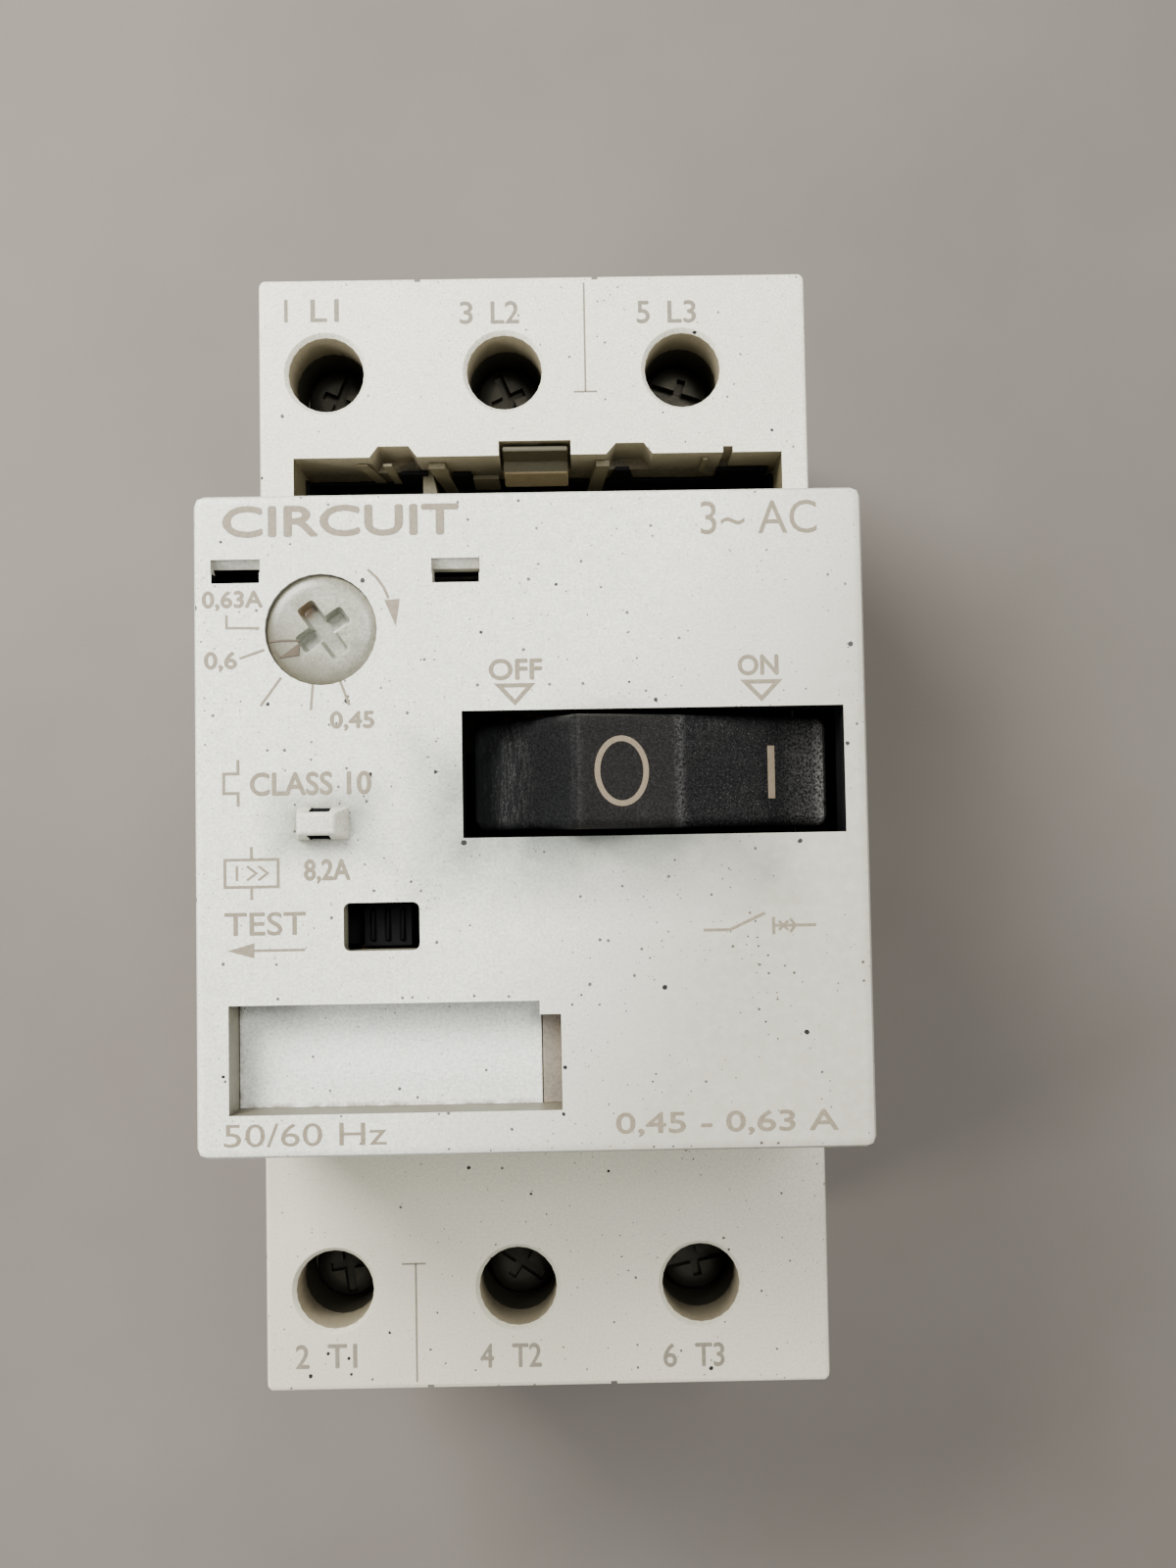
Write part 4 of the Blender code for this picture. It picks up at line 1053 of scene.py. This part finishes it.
# side outline of the rocker: x and height over the front
ROCKER_OUTLINE = (
    (-3.9, -11.6), (-4.15, -6.2), (-3.8, -5.4), (-2.2, -3.6), (0.1, -1.0), (2.3, 1.5), (2.65, 1.84),
    (3.1, 1.95), (3.6, 1.9), (9.5, 0.36), (10.2, 0.05), (16.6, -2.6), (19.6, -3.95), (20.15, -4.3),
    (20.4, -4.9), (20.0, -9.0), (19.2, -10.4), (13.0, -11.6))
MIDDLE_FACET = ROCKER_OUTLINE[8:10]
RIGHT_FACET = ROCKER_OUTLINE[10:12]


def make_rocker():
    """Rocker with rounded rims and a bore for each of its two pins."""
    half_width = 3.8
    bm = bmesh.new()
    outline = [(x, FRONT_Z + height) for x, height in ROCKER_OUTLINE]
    add_prism(bm, outline, PIVOT.y - half_width, PIVOT.y + half_width, "Y")
    rim = [edge for edge in bm.edges if abs(edge.verts[0].co.y - edge.verts[1].co.y) < 0.01]
    bmesh.ops.bevel(bm, geom=rim, offset=0.75, segments=4, profile=0.5, affect="EDGES", clamp_overlap=True)
    rocker = add_object("rocker_cap", bm, MATERIALS["charcoal"])
    bores = bmesh.new()
    crank, crank_angle = 7.0, math.radians(14.0)
    drive = (PIVOT.x + crank * math.cos(crank_angle), PIVOT.z + crank * math.sin(crank_angle))
    add_prism(bores, circle((PIVOT.x, PIVOT.z), 1.3, 20), -4.0, 10.0, "Y")
    add_prism(bores, circle(drive, 0.85, 16), -4.0, 10.0, "Y")
    carve(rocker, bores)
    finish_shading(rocker, 24.0)
    settle(rocker, "rocker", ("rocker",))


def make_rocker_marks():
    """O and I, laid on the two sloping faces of the rocker."""
    marks = bmesh.new()
    oval = [(5.98 + 1.62 * math.cos(a), 2.86 + 2.14 * math.sin(a))
            for a in (2 * math.pi * i / 40 for i in range(40))]
    add_stroke(marks, oval, 0.37, 0.0, True)
    add_stroke(marks, [(16.3, 1.0), (16.3, 4.6)], 0.5, 0.0)
    for vert in marks.verts:
        (x0, z0), (x1, z1) = MIDDLE_FACET if vert.co.x < 10.0 else RIGHT_FACET
        share = (vert.co.x - x0) / (x1 - x0)
        vert.co.z += FRONT_Z + z0 + share * (z1 - z0)
    piece("rocker_marks", marks, "pale", "rocker")


# radius and height of the dial's domed face, from its rim to its axis
DIAL_DOME = ((3.72, 72.60), (3.6, 72.70), (2.9, 72.80), (1.7, 72.88), (0.8, 72.92), (0.0, 72.93))


def dome_height(radius):
    """Height of the dial's domed face at a distance from its axis."""
    for (outer, low), (inner, high) in zip(DIAL_DOME, DIAL_DOME[1:]):
        if radius >= inner:
            return low + (high - low) * (outer - radius) / (outer - inner)
    return DIAL_DOME[-1][1]


def add_cross_cutter(bm, turn, half):
    """One bar of the dial's cross recess, with sloping walls."""
    for wide, long, z in ((0.46, half - 0.2, 71.85), (0.66, half + 0.02, 72.85), (0.7, half + 0.05, 74.0)):
        for x, y in rounded((-long, -wide), (long, wide), 0.25, 3):
            bm.verts.new((x, y, z))
    bmesh.ops.convex_hull(bm, input=bm.verts)
    place = Matrix.Translation(DIAL + Vector((0.12, 0.0, 0))) @ Matrix.Rotation(math.radians(turn), 4, "Z")
    bmesh.ops.transform(bm, verts=bm.verts, matrix=place)


def make_dial():
    """Setting dial with a domed face, a cross recess and the cam on its shaft."""
    bm = bmesh.new()
    add_lathe(bm, [(0.0, 55.0), (1.5, 55.0), (1.5, 67.0), (3.7, 67.4)] + list(DIAL_DOME), DIAL, 64)
    dial = add_object("dial_button", bm, MATERIALS["dial"])
    for turn, half in ((35.0, 1.85), (-54.0, 2.08)):
        bar = bmesh.new()
        add_cross_cutter(bar, turn, half)
        carve(dial, bar)
    cam = bmesh.new()
    add_prism(cam, circle((DIAL.x + 0.9, DIAL.y), 2.9, 24), 55.4, 57.0)
    carve(dial, cam, operation="UNION")
    soften(dial, 0.1, 3)
    # the cross recess is painted a darker grey: painted shade in the recess
    paint(dial, "dial_cross", lambda c, n: (c.xy - DIAL.xy).length < 2.3 and 71.6 < c.z < 72.7)
    settle(dial, "dial", ("setting_dial",))


def make_dial_pointer():
    """Filled arrowhead and its outline, drawn flat round the dial's axis and laid on its dome."""
    pointer = bmesh.new()
    add_fill(pointer, [(-1.42, -0.86), (-2.82, -1.86), (-1.50, -1.70)], 0.02)
    add_stroke(pointer, [(-3.52, -0.74), (-2.6, -0.70), (-1.45, -0.72)], 0.11, 0.0)
    add_stroke(pointer, [(-3.30, -1.30), (-2.75, -1.78)], 0.10, 0.0)
    bmesh.ops.subdivide_edges(pointer, edges=pointer.edges, cuts=3, use_grid_fill=True)
    for vert in pointer.verts:
        height = dome_height(vert.co.xy.length) + (0.05 if vert.co.z > 0 else -0.08)
        vert.co += Vector((DIAL.x, DIAL.y, height))
    piece("dial_pointer", pointer, "brown", "dial")


def screw_profile(low, head, radius):
    """(radius, z) outline of a ribbed shank with a washer head, from its tip to the top of the head."""
    profile = [(0.0, low), (1.3, low)]
    z = low + 0.4
    while z < head - 3.2:
        profile += [(1.72, z), (1.42, z + 0.35)]
        z += 0.7
    washer = [(1.6, head - 2.45), (radius, head - 2.4), (radius, head - 0.7), (radius - 0.2, head - 0.3)]
    return profile + washer + [(radius - 0.75, head - 0.05), (radius * 0.5, head), (0.0, head)]


def make_terminal_screws():
    """Combination screws with a slot and a cross, each turned by its own angle."""
    for side, number, centre in terminals():
        node = f"{side}_screw_{number}"
        low, high = (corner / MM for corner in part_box(node))
        radius = (high.x - low.x) / 2
        head = high.z
        bm = bmesh.new()
        add_lathe(bm, screw_profile(low.z, head, radius), centre, 32)
        screw = add_object(f"{side}_terminal_screw_{number}", bm, MATERIALS["zinc"])
        turn = math.radians(20 + 47 * number + (31 if side == "load" else 0))
        spin = Matrix.Translation((*centre, 0.0)) @ Matrix.Rotation(turn, 4, "Z")
        for x, y, depth in ((radius * 0.86, 0.4, 1.1), (0.36, radius * 0.55, 1.0)):
            bar = bmesh.new()
            add_box(bar, (-x, -y, head - depth), (x, y, head + 1.0))
            bmesh.ops.transform(bar, verts=bar.verts, matrix=spin)
            carve(screw, bar)
        finish_shading(screw, 30.0)
        settle(screw, node, (node,))


# ---- everything

SLOT_LOOKS = {
    "cover_white": "white", "housing_cream": "cream", "base_grey": "base", "clip_grey": "clip",
    "charcoal": "charcoal", "black_plastic": "black", "beige_plastic": "beige", "dial_white": "dial",
    "zinc_steel": "zinc", "bright_steel": "bright", "dark_steel": "dark", "copper": "copper",
    "brass": "brass",
}


def dress_frame():
    """Procedural materials for the CAD nodes that stay visible."""
    for part in frame["record"]["subparts"]:
        mesh = NODES[part["node"]].data
        mesh.materials.clear()
        hidden = part["node"] in ("mechanism_frame", "rocker_pin", "drive_pin")
        mesh.materials.append(MATERIALS["oxide" if hidden else SLOT_LOOKS[part["material_slot"]]])


for make in (make_camera, make_floor, make_lights, dress_frame, make_cover, make_eyelet, make_label,
             make_shell, make_driver_guides, make_base, make_rail_latch, make_test_button,
             make_window_frame, make_coils, make_slot_tongue, make_slot_ribs, make_slot_floor, make_rocker,
             make_rocker_marks, make_dial, make_dial_pointer, make_terminal_screws, make_cover_print,
             make_shoulder_print):
    make()
